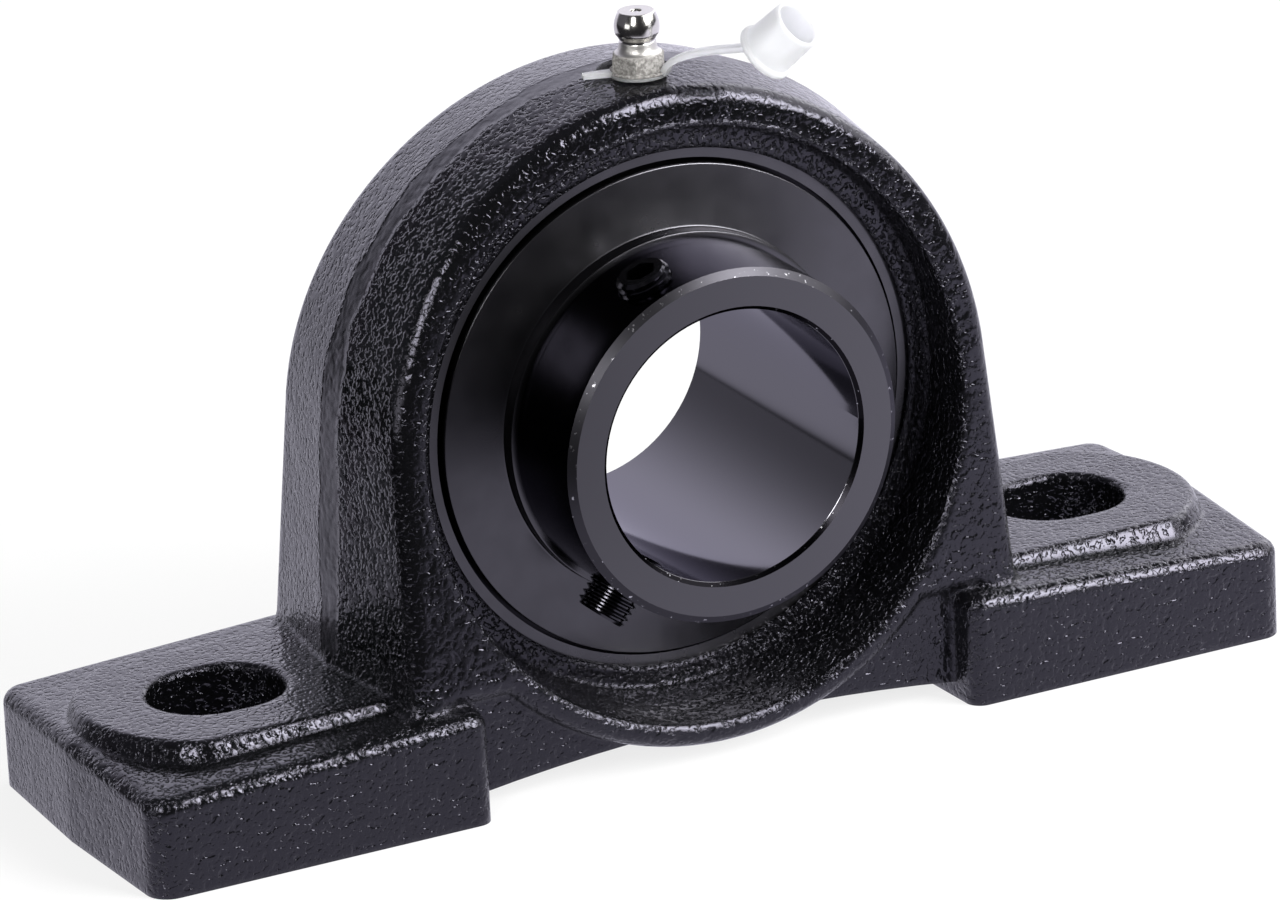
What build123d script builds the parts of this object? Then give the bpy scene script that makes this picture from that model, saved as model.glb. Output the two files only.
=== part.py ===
from build123d import *
import os
from math import asin, atan, cos, degrees, radians, sin, sqrt, tan

# A pillow block bearing: a cast housing on two feet, holding a ball bearing insert
# whose spherical outer ring swivels in the housing's spherical seat.
# Millimetres. +Z is up and the base plane is z = 0. The shaft runs along Y, and its
# set screws are on the -Y side. The origin is in the base plane, under the middle
# of the seat.

# ---------------------------------------------------------------- housing
shaft_height = 49.2          # base plane to shaft axis
base_length = 184.0          # over both feet
base_width = 54.0            # feet, front to back
bolt_inset = 23.5            # a foot's end to the middle of its bolt slot
bolt_slot_width = 17.0
bolt_slot_length = 20.0      # overall, along X
boss_height = 18.0           # base plane to the bolt seats
boss_width = 35.0            # bolt seat, front to back
boss_end_radius = 20.0       # bolt seat's outer end, about the middle of the slot
boss_corner_radius = 5.0
boss_depth = 4.0             # bolt seat down to where its sides are lost in the foot
boss_side_slope = 25.0       # degrees from upright
boss_edge_radius = 1.2
slot_edge_radius = 0.9

arch_radius = 49.3           # crown, on the parting plane
arch_draft = 6.7             # degrees, falling away from the parting plane
flank_flare = 3.4            # degrees that the flanks spread towards the feet
flank_foot_radius = 3.2      # sweep of the flanks onto the feet
face_half_thickness = 19.5   # parting plane to a face of the arch, at shaft height
face_lean = 7.5              # degrees that each face leans in towards the crown
arch_foot = 16.4             # base plane to the lower edge of a face, beside a foot
arch_overlap = 4.0           # that edge, let into a foot
arch_edge_radius = 2.4

foot_gap = 75.2              # between the feet
foot_inner_height = 17.8     # on the parting plane, beside the arch
foot_outer_height = 15.4     # on the parting plane, at the foot's end
foot_draft = 2.3             # degrees, falling away from the parting plane
foot_corner_radius = 3.5     # at the foot's end
foot_inner_radius = 2.4      # corners towards the other foot
foot_edge_radius = 2.2

web_thickness = 43.4         # between the feet, front to back
web_height = 20.0            # up to where it is lost in the arch
web_overlap = 3.0            # let into each foot
underside_step = 2.4         # base plane to the web, beside a foot
underside_rise = 2.6         # how much more than that in the middle

seat_clearance = 0.05        # between outer ring and seat, on radius
seat_half_width = 11.2       # parting plane to the edge of the spherical seat
recess_radius = 41.7         # pocket in each face round the seat, at its floor
recess_draft = 5.0           # degrees
rim_edge_radius = 1.0
loading_clearance = 0.4      # round the outer ring as it goes in crosswise

# ---------------------------------------------------------------- insert
bore_diameter = 40.0
outer_diameter = 80.0        # spherical
outer_ring_width = 21.0
inner_ring_front = 30.2      # seat centre to the set screw end
inner_ring_back = 19.0       # seat centre to the other end
inner_ring_diameter = 52.1
bore_chamfer = 0.6
collar_chamfer = 1.1         # outer corner of the inner ring, on radius
collar_chamfer_length = 0.8

ball_diameter = 12.0
ball_count = 9
pitch_diameter = 60.0
raceway_radius = 6.2         # section of both grooves
raceway_clearance = 0.03     # ball to groove bottom, on radius
outer_shoulder_diameter = 67.8

cage_thickness = 0.9
cage_width = 4.6             # of the ribbon, on radius
pocket_clearance = 0.2
rivet_diameter = 1.8
rivet_head_diameter = 3.0
rivet_head_height = 0.8

seal_bore_diameter = 73.8    # counterbore in each end of the outer ring
seal_plate_inset = 1.9       # ring face to the outer face of the seal plate
seal_plate_thickness = 0.8
seal_plate_hole = 57.2
seal_lip_clearance = 0.1     # lip edge to inner ring, on radius
seal_lip_root = 1.0          # rubber beyond the plate's edge, and the fork of its lips
seal_lip_bulge = 0.4         # rubber proud of the plate, at the root
seal_lip_spread = 0.8        # lips beyond the plate's faces, along the shaft
seal_lip_edge = 0.5          # width of each lip's edge

flinger_thickness = 1.0
flinger_gap = 0.75           # flinger rim to outer ring, on radius
flinger_collar_end = 14.1    # seat centre to the end of the flinger's collar
flinger_shoulder = 12.5      # seat centre to the root of that collar

set_screw_diameter = 8.0
set_screw_clearance = 0.1    # in its tapped hole, on radius
set_screw_length = 7.5
set_screw_inset = 7.2        # inner ring face to the set screws
set_screw_socket = 4.0       # hexagon key, across flats
set_screw_socket_depth = 3.6
set_screw_chamfer = 0.8
set_screw_angles = {"set_screw_top": 111.0, "set_screw_side": 231.0}
set_screw_lift = {"set_screw_top": 0.4, "set_screw_side": 2.6}   # tip above the bore

# ---------------------------------------------------------------- lubrication
lube_offset = 5.5            # seat centre to the grease way, towards the set screws
lube_groove_width = 3.4
lube_groove_depth = 0.7
lube_hole_diameter = 2.0

nipple_thread = 6.0
thread_clearance = 0.05      # nipple shank in its hole, on radius
nipple_shank_length = 5.5
nipple_spot_diameter = 12.4  # flat cut on the crown
nipple_spot_depth = 0.8      # crown on the parting plane down to that flat
nipple_hexagon = 7.0         # across flats
nipple_corner_height = 1.65  # this and the rest are heights over the hexagon's underside
nipple_neck_diameter = 5.3
nipple_neck_start = 3.4
nipple_neck_end = 4.8
nipple_head_diameter = 6.5
nipple_head_start = 5.8
nipple_head_end = 6.6
nipple_top_diameter = 4.7
nipple_height = 8.7
nipple_hexagon_turn = -1.7   # heading of one corner
nipple_mouth = 1.5
nipple_chamber = 2.6
nipple_ball_diameter = 2.0
nipple_ball_clearance = 0.03
spring_wire = 0.3
spring_diameter = 2.2
spring_pitch = 1.0
spring_length = 5.4

# ---------------------------------------------------------------- dust cap
cap_plane_angle = -52.0      # heading of strap and cap from the nipple, about Z
tail_angle = 165.0           # heading of the pull tab
cap_ring_diameter = 8.5
cap_ring_thickness = 1.0
tail_length = 8.1            # from the nipple's axis
tail_width = 2.2
tail_tip_width = 1.3
tail_rise = 0.2              # pull tab's underside, over the flat
lug_gap = 0.06               # hexagon's corners to the ring's lug
lug_thickness = 0.6
lug_height = 2.4             # over the flat
strap_width = 2.0
strap_thickness = 1.0
strap_root = (5.4, 2.0)      # out from the nipple's axis, and up from its flat
strap_bend = (9.3, 3.9)
strap_crest = (13.1, 4.75)
strap_end = (17.55, 5.5)
cap_centre = (19.3, 4.6)     # middle of the cap's closed end
cap_tilt = 42.0              # degrees, open end upwards
cap_flange_diameter = 8.9
cap_flange_thickness = 1.1
cap_diameter = 7.8
cap_mouth_diameter = 7.5
cap_length = 7.5
cap_bore_diameter = 6.2
cap_bore_depth = 6.2

ball_radius = ball_diameter / 2
pitch_radius = pitch_diameter / 2
outer_radius = outer_diameter / 2
inner_ring_radius = inner_ring_diameter / 2
outer_half_width = outer_ring_width / 2
seat_radius = outer_radius + seat_clearance
seal_bore_radius = seal_bore_diameter / 2
seal_plate_outside = outer_half_width - seal_plate_inset
seal_plate_inside = seal_plate_outside - seal_plate_thickness
set_screw_y = set_screw_inset - inner_ring_front
foot_inner_x = foot_gap / 2
foot_length = base_length / 2 - foot_inner_x
bolt_spacing = base_length - 2 * bolt_inset
nipple_spot_height = shaft_height + arch_radius - nipple_spot_depth
SHAFT_AXIS = Pos(0, 0, shaft_height)
NIPPLE_AXIS = Pos(0, -lube_offset, nipple_spot_height)
WHOLE = 4 * base_length      # larger than the part, for trimming blocks


def turned(points):
    """Solid of revolution about the shaft axis, from (radius, y) points."""
    outline = make_face(Polyline(*points, close=True))
    return SHAFT_AXIS * revolve(outline, Axis.Y)


def turned_upright(points):
    """Solid of revolution about Z, from (radius, z) points."""
    outline = make_face(Polyline(*[(r, 0, z) for r, z in points], close=True))
    return revolve(outline, Axis.Z)


def radial(angle):
    """Place whose +Z points away from the shaft axis, at an angle from +X towards +Z."""
    return SHAFT_AXIS * Rot(0, 90 - angle, 0)


def both_sides(half):
    """A half and its mirror image behind the parting plane, joined."""
    return half + mirror(half, about=Plane.XZ)


# ---------------------------------------------------------------- housing
def arch_outline(radius, y):
    """Front outline of the arch at a depth y: crown, flaring flanks, ring bottom."""
    flare = radians(flank_flare)
    tangent = (radius * cos(flare), shaft_height + radius * sin(flare))
    landing_z = foot_outer_height
    sweep_z = landing_z + flank_foot_radius * (1 - sin(flare))
    sweep_x = tangent[0] + (tangent[1] - sweep_z) * tan(flare)
    sweep_end_x = sweep_x + flank_foot_radius * cos(flare)
    middle = (
        sweep_end_x - flank_foot_radius * sin(radians(45 - flank_flare / 2)),
        landing_z + flank_foot_radius * (1 - cos(radians(45 - flank_flare / 2))),
    )
    ledge_x = sqrt(radius**2 - (shaft_height - arch_foot) ** 2)
    buried_x, buried_z = foot_inner_x + arch_overlap, foot_outer_height / 2

    def at(x, z):
        return (x, y, z)

    def flank(side):
        return [
            Line(at(side * tangent[0], tangent[1]), at(side * sweep_x, sweep_z)),
            ThreePointArc(
                at(side * sweep_x, sweep_z),
                at(side * middle[0], middle[1]),
                at(side * sweep_end_x, landing_z),
            ),
            Line(at(side * sweep_end_x, landing_z), at(side * sweep_end_x, buried_z)),
            Line(at(side * sweep_end_x, buried_z), at(side * buried_x, arch_foot)),
            Line(at(side * buried_x, arch_foot), at(side * ledge_x, arch_foot)),
        ]

    crown = ThreePointArc(
        at(-tangent[0], tangent[1]),
        at(0, shaft_height + radius),
        at(*tangent),
    )
    ring_bottom = ThreePointArc(
        at(ledge_x, arch_foot),
        at(0, shaft_height - radius),
        at(-ledge_x, arch_foot),
    )
    return make_face([crown, *flank(1), ring_bottom, *flank(-1)])


def face_y(z):
    """Distance of the leaning face from the parting plane, at a height z."""
    return face_half_thickness + (shaft_height - z) * tan(radians(face_lean))


def arch():
    """The arch between its two leaning faces, with rounded outer edges."""
    depth = base_width / 2
    far_radius = arch_radius - depth * tan(radians(arch_draft))
    sections = [arch_outline(arch_radius, 0), arch_outline(far_radius, -depth)]
    low, high = -1.0, shaft_height + arch_radius + 1
    wedge = Polyline(
        (0, 0, low), (0, -face_y(low), low), (0, -face_y(high), high), (0, 0, high), close=True
    )
    wedge = extrude(make_face(wedge), base_length / 2, dir=(1, 0, 0), both=True)
    half = loft(sections, ruled=True) & wedge
    face = half.faces().sort_by(Axis.Y)[0]
    half = fillet(face.edges(), arch_edge_radius)
    return both_sides(half)


def foot_half():
    """Front half of the right foot, tapering away from the parting plane."""
    end_x = base_length / 2
    slope = (foot_inner_height - foot_outer_height) / foot_length
    side = Polyline(
        (foot_inner_x, 0, -foot_inner_height),
        (end_x, 0, -foot_inner_height),
        (end_x, 0, foot_inner_height - slope * foot_length),
        (foot_inner_x, 0, foot_inner_height),
        close=True,
    )
    face = make_face(side)
    block = extrude(face, base_width / 2, dir=(0, -1, 0), taper=foot_draft)
    block = split(block, Plane.XY)
    corners = block.edges().filter_by(lambda e: e.center().Y < -1 - base_width / 4)
    upright = [e for e in corners if e.bounding_box().size.Z > foot_outer_height / 2]
    inner, outer = sorted(upright, key=lambda e: e.center().X)
    block = fillet(outer, foot_corner_radius)
    block = fillet(block.edges().sort_by_distance(inner.center())[0], foot_inner_radius)
    top = block.faces().sort_by(Axis.Z)[-1]
    rim = [e for e in top.edges() if e.center().Y < -1]
    return fillet(rim, foot_edge_radius)


def boss():
    """Raised bolt seat on the right foot, round at its outer end, with sloping sides."""
    spread = boss_depth * tan(radians(boss_side_slope))
    reach = bolt_spacing / 2 - foot_inner_x
    end = Pos(bolt_spacing / 2, 0) * Circle(boss_end_radius + spread)
    inner = Pos(bolt_spacing / 2 - reach / 2, 0) * Rectangle(reach, WHOLE)
    outline = (end + inner) & Rectangle(WHOLE, boss_width + 2 * spread)
    outer = [v for v in outline.vertices() if v.X > bolt_spacing / 2]
    outline = fillet(outer, boss_corner_radius + spread)
    floor_z = boss_height - boss_depth
    pad = extrude(Pos(0, 0, floor_z) * outline, boss_depth, taper=boss_side_slope)
    return fillet(pad.faces().sort_by(Axis.Z)[-1].edges(), boss_edge_radius)


def web():
    """Wall between the feet, let a little way into both of them."""
    length = foot_gap + 2 * web_overlap
    return Pos(0, 0, web_height / 2) * Box(length, web_thickness, web_height)


def seat_cut():
    """Spherical seat with the round pocket outside it in each face."""
    mouth_y = base_width
    mouth_r = recess_radius + (mouth_y - seat_half_width) * tan(radians(recess_draft))
    seat_r = sqrt(seat_radius**2 - seat_half_width**2)
    outline = [
        Line((0, -mouth_y), (mouth_r, -mouth_y)),
        Line((mouth_r, -mouth_y), (recess_radius, -seat_half_width)),
        Line((recess_radius, -seat_half_width), (seat_r, -seat_half_width)),
        ThreePointArc((seat_r, -seat_half_width), (seat_radius, 0), (seat_r, seat_half_width)),
        Line((seat_r, seat_half_width), (recess_radius, seat_half_width)),
        Line((recess_radius, seat_half_width), (mouth_r, mouth_y)),
        Line((mouth_r, mouth_y), (0, mouth_y)),
        Line((0, mouth_y), (0, -mouth_y)),
    ]
    return SHAFT_AXIS * revolve(make_face(outline), Axis.Y)


def loading_slot_cut():
    """Way in from the back for the outer ring held crosswise, out to the seat's middle."""
    reach = outer_radius + loading_clearance
    half_height = outer_half_width + loading_clearance
    bar = Box(2 * reach, base_width, 2 * half_height)
    bar = Pos(0, base_width / 2, 0) * bar
    way = extrude(Plane.XZ * Circle(reach), -base_width)
    return SHAFT_AXIS * (bar & way)


def bolt_slot_cut():
    """One bolt slot, right through a foot."""
    outline = Pos(bolt_spacing / 2, 0, -1) * SlotOverall(bolt_slot_length, bolt_slot_width)
    return extrude(outline, boss_height + 2)


def nipple_cut():
    """Spot face and drilled way for the grease nipple, from the crown to the seat."""
    spot = Cylinder(nipple_spot_diameter / 2, shaft_height)
    hole = Cylinder(nipple_thread / 2, nipple_shank_length + 1)
    way_length = nipple_spot_height - shaft_height - outer_radius + lube_groove_depth
    way = Cylinder(lube_groove_width / 2, 2 * way_length)
    spot = Pos(0, 0, shaft_height / 2) * spot
    hole = Pos(0, 0, -(nipple_shank_length + 1) / 2) * hole
    return NIPPLE_AXIS * (spot + hole + way)


def underside_cut():
    """Arched relief that lets the block stand on its feet alone."""
    span = foot_inner_x + base_width / 2 * tan(radians(foot_draft))
    side_z, middle_z = underside_step, underside_step + underside_rise
    arc = ThreePointArc((-span, 0, side_z), (0, 0, middle_z), (span, 0, side_z))
    outline = [
        arc,
        Line((span, 0, side_z), (span, 0, -1)),
        Line((span, 0, -1), (-span, 0, -1)),
        Line((-span, 0, -1), (-span, 0, side_z)),
    ]
    return extrude(make_face(outline), web_thickness / 2, dir=(0, 1, 0), both=True)


def housing():
    """The casting, machined: seat, loading slots, bolt slots, grease way and base."""
    right = both_sides(foot_half()) + boss()
    feet = right + mirror(right, about=Plane.YZ)
    body = arch() + (web() - underside_cut()) + feet
    body -= Pos(0, 0, -WHOLE / 2) * Box(WHOLE, WHOLE, WHOLE)
    body -= seat_cut()
    rim = [e for e in body.edges() if is_rim_edge(e)]
    body = fillet(rim, rim_edge_radius)
    body -= loading_slot_cut()
    body -= nipple_cut()
    slot = bolt_slot_cut()
    body -= slot + mirror(slot, about=Plane.YZ)
    mouths = [e for e in body.edges() if is_slot_mouth(e)]
    return fillet(mouths, slot_edge_radius)


def is_rim_edge(edge):
    """Whether an edge is the mouth of the round pocket in a face of the arch."""
    point = edge @ 0.25
    radius = sqrt(point.X**2 + (point.Z - shaft_height) ** 2)
    return abs(point.Y) > seat_half_width + 1 and radius < recess_radius + 2


def is_slot_mouth(edge):
    """Whether an edge runs round the top of a bolt slot."""
    box = edge.bounding_box()
    flat = box.size.Z < 0.01 and abs(box.max.Z - boss_height) < 0.01
    reach = abs(abs(edge.center().X) - bolt_spacing / 2)
    inside = abs(edge.center().Y) <= bolt_slot_width / 2 + 0.01
    return flat and inside and reach <= bolt_slot_length / 2 + 0.01


# ---------------------------------------------------------------- insert
def outer_ring():
    """Outer ring: spherical outside, deep groove inside, grease groove and hole."""
    ring = Sphere(outer_radius) & Box(2 * outer_radius, outer_ring_width, 2 * outer_radius)
    ring = SHAFT_AXIS * ring
    shoulder = outer_shoulder_diameter / 2
    ring -= turned(
        [
            (0, -base_width),
            (seal_bore_radius, -base_width),
            (seal_bore_radius, -seal_plate_inside),
            (shoulder, -seal_plate_inside),
            (shoulder, seal_plate_inside),
            (seal_bore_radius, seal_plate_inside),
            (seal_bore_radius, base_width),
            (0, base_width),
        ]
    )
    groove_centre = pitch_radius + ball_radius + raceway_clearance - raceway_radius
    ring -= SHAFT_AXIS * Rot(90, 0, 0) * Torus(groove_centre, raceway_radius)
    half = lube_groove_width / 2
    floor = sqrt(outer_radius**2 - lube_offset**2) - lube_groove_depth
    ring -= turned(
        [
            (floor, -lube_offset - half),
            (outer_radius + 1, -lube_offset - half),
            (outer_radius + 1, -lube_offset + half),
            (floor, -lube_offset + half),
        ]
    )
    way = Pos(0, -lube_offset, outer_radius) * Cylinder(lube_hole_diameter / 2, outer_radius / 2)
    return ring - SHAFT_AXIS * way


def inner_ring():
    """Wide inner ring: bore, deep groove and two tapped holes near the front end."""
    bore = bore_diameter / 2
    front, back = -inner_ring_front, inner_ring_back
    ring = turned(
        [
            (bore, front + bore_chamfer),
            (bore + bore_chamfer, front),
            (inner_ring_radius - collar_chamfer, front),
            (inner_ring_radius, front + collar_chamfer_length),
            (inner_ring_radius, back - collar_chamfer_length),
            (inner_ring_radius - collar_chamfer, back),
            (bore + bore_chamfer, back),
            (bore, back - bore_chamfer),
        ]
    )
    groove_centre = pitch_radius - ball_radius - raceway_clearance + raceway_radius
    ring -= SHAFT_AXIS * Rot(90, 0, 0) * Torus(groove_centre, raceway_radius)
    middle = (bore + inner_ring_radius) / 2
    for angle in set_screw_angles.values():
        hole = Cylinder(set_screw_diameter / 2, bore)
        ring -= radial(angle) * Pos(0, set_screw_y, middle) * hole
    return ring


def ball_angle(index):
    """Angle of a ball round the shaft, from +X towards +Z."""
    return 90 + index * 360 / ball_count


def ball(index):
    """One ball, at the bottom of both grooves."""
    return radial(ball_angle(index)) * Pos(0, 0, pitch_radius) * Sphere(ball_radius)


def cage_half(side):
    """Pressed ribbon half: a flat ring cupped round every ball, on one side of them."""
    inner, outer = pitch_radius - cage_width / 2, pitch_radius + cage_width / 2
    cup_inner = ball_radius + pocket_clearance
    half = turned([(inner, 0), (outer, 0), (outer, side * cage_thickness),
                   (inner, side * cage_thickness)])
    cup = Sphere(cup_inner + cage_thickness)
    hollow = Sphere(cup_inner)
    rivet_hole = Rot(90, 0, 0) * Cylinder(rivet_diameter / 2, 4 * cage_thickness)
    for index in range(ball_count):
        half += radial(ball_angle(index)) * Pos(0, 0, pitch_radius) * cup
    reach = cup_inner + cage_thickness
    half &= turned([(inner, 0), (outer, 0), (outer, side * reach), (inner, side * reach)])
    for index in range(ball_count):
        half -= radial(ball_angle(index)) * Pos(0, 0, pitch_radius) * hollow
        half -= radial(ball_angle(index + 0.5)) * Pos(0, 0, pitch_radius) * rivet_hole
    return half


def cage_rivets():
    """Rivets that close the two cage halves, one between each two balls."""
    shank = Cylinder(rivet_diameter / 2, 2 * cage_thickness)
    head = Cylinder(rivet_head_diameter / 2, rivet_head_height)
    reach = cage_thickness + rivet_head_height / 2
    rivet = Rot(90, 0, 0) * (shank + Pos(0, 0, reach) * head + Pos(0, 0, -reach) * head)
    places = [radial(ball_angle(i + 0.5)) * Pos(0, 0, pitch_radius) for i in range(ball_count)]
    return Compound(children=[place * rivet for place in places])


def seal_plate(side):
    """Steel seal plate, pressed into one end of the outer ring."""
    inner, outer = side * seal_plate_inside, side * seal_plate_outside
    hole = seal_plate_hole / 2
    return turned([(hole, inner), (hole, outer), (seal_bore_radius, outer),
                   (seal_bore_radius, inner)])


def seal_lip(side):
    """Rubber bonded to the seal plate's edge, with two lips round the inner ring."""
    hole = seal_plate_hole / 2
    lip_r = inner_ring_radius + seal_lip_clearance
    inner, outer = seal_plate_inside, seal_plate_outside
    root_r = hole - seal_lip_root
    outline = [
        (hole, inner),
        (hole, outer),
        (root_r, outer + seal_lip_bulge),
        (lip_r, outer + seal_lip_spread + seal_lip_edge),
        (lip_r, outer + seal_lip_spread),
        (lip_r + seal_lip_root, (inner + outer) / 2),
        (lip_r, inner - seal_lip_spread + seal_lip_edge),
        (lip_r, inner - seal_lip_spread),
        (root_r, inner - seal_lip_bulge),
    ]
    return turned([(r, side * y) for r, y in outline])


def flinger(side):
    """Pressed steel flinger on the inner ring, shielding the seal."""
    rim = seal_bore_radius - flinger_gap
    root = inner_ring_radius + flinger_thickness
    outline = [
        (inner_ring_radius, flinger_collar_end),
        (root - 0.3, flinger_collar_end),
        (root, flinger_collar_end - 0.3),
        (root, flinger_shoulder),
        (rim - 0.3, outer_half_width),
        (rim, outer_half_width - 0.3),
        (rim, outer_half_width - flinger_thickness),
        (rim - flinger_thickness, outer_half_width - flinger_thickness),
        (root, flinger_shoulder - flinger_thickness),
        (inner_ring_radius, flinger_shoulder - flinger_thickness),
    ]
    return turned([(r, side * y) for r, y in outline])


def set_screw(name):
    """Socket set screw, standing a little out of the inner ring."""
    radius = set_screw_diameter / 2 - set_screw_clearance
    small = radius - set_screw_chamfer
    body = turned_upright(
        [
            (0, 0),
            (small, 0),
            (radius, set_screw_chamfer),
            (radius, set_screw_length - set_screw_chamfer / 2),
            (radius - set_screw_chamfer / 2, set_screw_length),
            (0, set_screw_length),
        ]
    )
    key_radius = set_screw_socket / 2 / cos(radians(30))
    socket = extrude(RegularPolygon(key_radius, 6), set_screw_socket_depth)
    body -= Pos(0, 0, set_screw_length - set_screw_socket_depth) * socket
    start = bore_diameter / 2 + set_screw_lift[name]
    return radial(set_screw_angles[name]) * Pos(0, set_screw_y, start) * body


# ---------------------------------------------------------------- lubrication
def hexagon_base():
    """Height of the nipple hexagon's underside over its spot face."""
    return cap_ring_thickness


def nipple_body():
    """Conical head grease nipple, bored for its ball and spring."""
    base = hexagon_base()
    shank = nipple_thread / 2 - thread_clearance
    neck, head, top = nipple_neck_diameter / 2, nipple_head_diameter / 2, nipple_top_diameter / 2
    mouth, chamber = nipple_mouth / 2, nipple_chamber / 2
    seat_z = ball_seat_height()
    outline = [
        (mouth, base + nipple_height),
        (top, base + nipple_height),
        (head, base + nipple_head_end),
        (head, base + nipple_head_start),
        (neck, base + nipple_neck_end),
        (neck, base),
        (shank, base),
        (shank, -nipple_shank_length + 0.6),
        (shank - 0.6, -nipple_shank_length),
        (chamber - 0.5, -nipple_shank_length),
        (chamber - 0.5, spring_base()),
        (chamber, spring_base()),
        (chamber, seat_z),
        (mouth, seat_z + chamber - mouth),
    ]
    corner = nipple_hexagon / 2 / cos(radians(30))
    cone = turned_upright(
        [
            (neck - 0.5, 0),
            (corner, 0),
            (corner, nipple_corner_height),
            (neck, nipple_neck_start),
            (neck - 0.5, nipple_neck_start),
        ]
    )
    prism = extrude(RegularPolygon(corner, 6), nipple_neck_start)
    hexagon = Pos(0, 0, base) * Rot(0, 0, nipple_hexagon_turn) * (prism & cone)
    return NIPPLE_AXIS * (turned_upright(outline) + hexagon)


def ball_seat_height():
    """Height over the spot face where the nipple's 45 degree ball seat starts."""
    radius = nipple_ball_diameter / 2 + nipple_ball_clearance
    centre = nipple_ball_height()
    return centre + radius * sqrt(2) - nipple_chamber / 2


def nipple_ball_height():
    """Height of the nipple ball's middle over the spot face."""
    return hexagon_base() + nipple_height - nipple_ball_diameter / 2 - 0.5


def spring_base():
    """Height over the spot face of the ledge that the spring stands on."""
    return nipple_ball_height() - nipple_ball_diameter / 2 - spring_length


def nipple_ball():
    """Check ball under the nipple's mouth."""
    return NIPPLE_AXIS * Pos(0, 0, nipple_ball_height()) * Sphere(nipple_ball_diameter / 2)


def nipple_spring():
    """Coil spring that holds the nipple's ball shut."""
    radius = (spring_diameter - spring_wire) / 2
    rise = spring_length - spring_wire
    path = Helix(spring_pitch, rise, radius)
    start = Plane(origin=path @ 0, z_dir=path % 0)
    coil = sweep(start * Circle(spring_wire / 2), path=path, is_frenet=True)
    return NIPPLE_AXIS * Pos(0, 0, spring_base() + spring_wire / 2) * coil


# ---------------------------------------------------------------- dust cap
CAP_PLANE = NIPPLE_AXIS * Rot(0, 0, cap_plane_angle)


def cap_ring():
    """Flat ring under the nipple's hexagon, with its pull tab and the strap's lug."""
    outer, hole = cap_ring_diameter / 2, nipple_thread / 2 + thread_clearance
    tail = Polygon(
        (outer - 1, -tail_width / 2),
        (tail_length, -tail_tip_width / 2),
        (tail_length, tail_tip_width / 2),
        (outer - 1, tail_width / 2),
        align=None,
    )
    ring = extrude(Circle(outer), cap_ring_thickness)
    tail = extrude(Pos(0, 0, tail_rise) * tail, cap_ring_thickness - tail_rise)
    ring += Rot(0, 0, tail_angle) * tail
    lug_x = nipple_hexagon / 2 / cos(radians(30)) + lug_gap
    lug = Box(lug_thickness, strap_width, lug_height)
    lug = Pos(lug_x + lug_thickness / 2, 0, lug_height / 2) * lug
    ring += Rot(0, 0, cap_plane_angle) * lug
    ring -= Cylinder(hole, 4 * cap_ring_thickness)
    return NIPPLE_AXIS * ring


def cap_strap():
    """Bent strap between the ring's lug and the cap, round at its flexing ends."""
    half = strap_thickness / 2
    path = Spline(strap_root, strap_bend, strap_crest, strap_end)
    joints = [0, 0.25, 0.5, 0.75, 1]
    normals = [(path % t).rotate(Axis.Z, 90) for t in joints]
    upper = Spline(*[path @ t + n * half for t, n in zip(joints, normals)])
    lower = Spline(*[path @ t - n * half for t, n in zip(joints, normals)])
    root = ThreePointArc(upper @ 0, path @ 0 - (path % 0) * half, lower @ 0)
    tip = ThreePointArc(upper @ 1, path @ 1 + (path % 1) * half, lower @ 1)
    band = extrude(make_face([root, upper, tip, lower]), strap_width / 2, both=True)
    return CAP_PLANE * Rot(90, 0, 0) * band


def dust_cap():
    """Round cap on the strap, its open end tilted upwards."""
    flange, body, mouth = cap_flange_diameter / 2, cap_diameter / 2, cap_mouth_diameter / 2
    bore = cap_bore_diameter / 2
    floor = cap_length - cap_bore_depth
    shape = turned_upright(
        [
            (0, 0),
            (flange, 0),
            (flange, cap_flange_thickness),
            (body, cap_flange_thickness),
            (mouth, cap_length),
            (bore, cap_length),
            (bore, floor),
            (0, floor),
        ]
    )
    place = Pos(cap_centre[0], 0, cap_centre[1]) * Rot(0, 90 - cap_tilt, 0)
    return CAP_PLANE * place * shape


def build_parts():
    """Every sub-part by node name."""
    parts = {"housing": housing(), "outer_ring": outer_ring(), "inner_ring": inner_ring()}
    for index in range(ball_count):
        parts[f"ball_{index + 1}"] = ball(index)
    for name, side in (("front", -1), ("back", 1)):
        parts[f"cage_{name}"] = cage_half(side)
        parts[f"seal_plate_{name}"] = seal_plate(side)
        parts[f"seal_lip_{name}"] = seal_lip(side)
        parts[f"flinger_{name}"] = flinger(side)
    parts["cage_rivets"] = cage_rivets()
    for name in set_screw_angles:
        parts[name] = set_screw(name)
    parts["nipple_body"] = nipple_body()
    parts["nipple_ball"] = nipple_ball()
    parts["nipple_spring"] = nipple_spring()
    parts["cap_ring"] = cap_ring()
    parts["cap_strap"] = cap_strap()
    parts["dust_cap"] = dust_cap()
    return parts


os.makedirs("parts", exist_ok=True)
for node, shape in build_parts().items():
    export_step(shape, f"parts/{node}.step")
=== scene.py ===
"""Looks of a pillow block bearing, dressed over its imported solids."""

import logging
import math
from dataclasses import dataclass
from enum import Enum
from typing import Any, Callable, Iterable, Sequence

import bpy
from mathutils import Matrix, Vector


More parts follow.
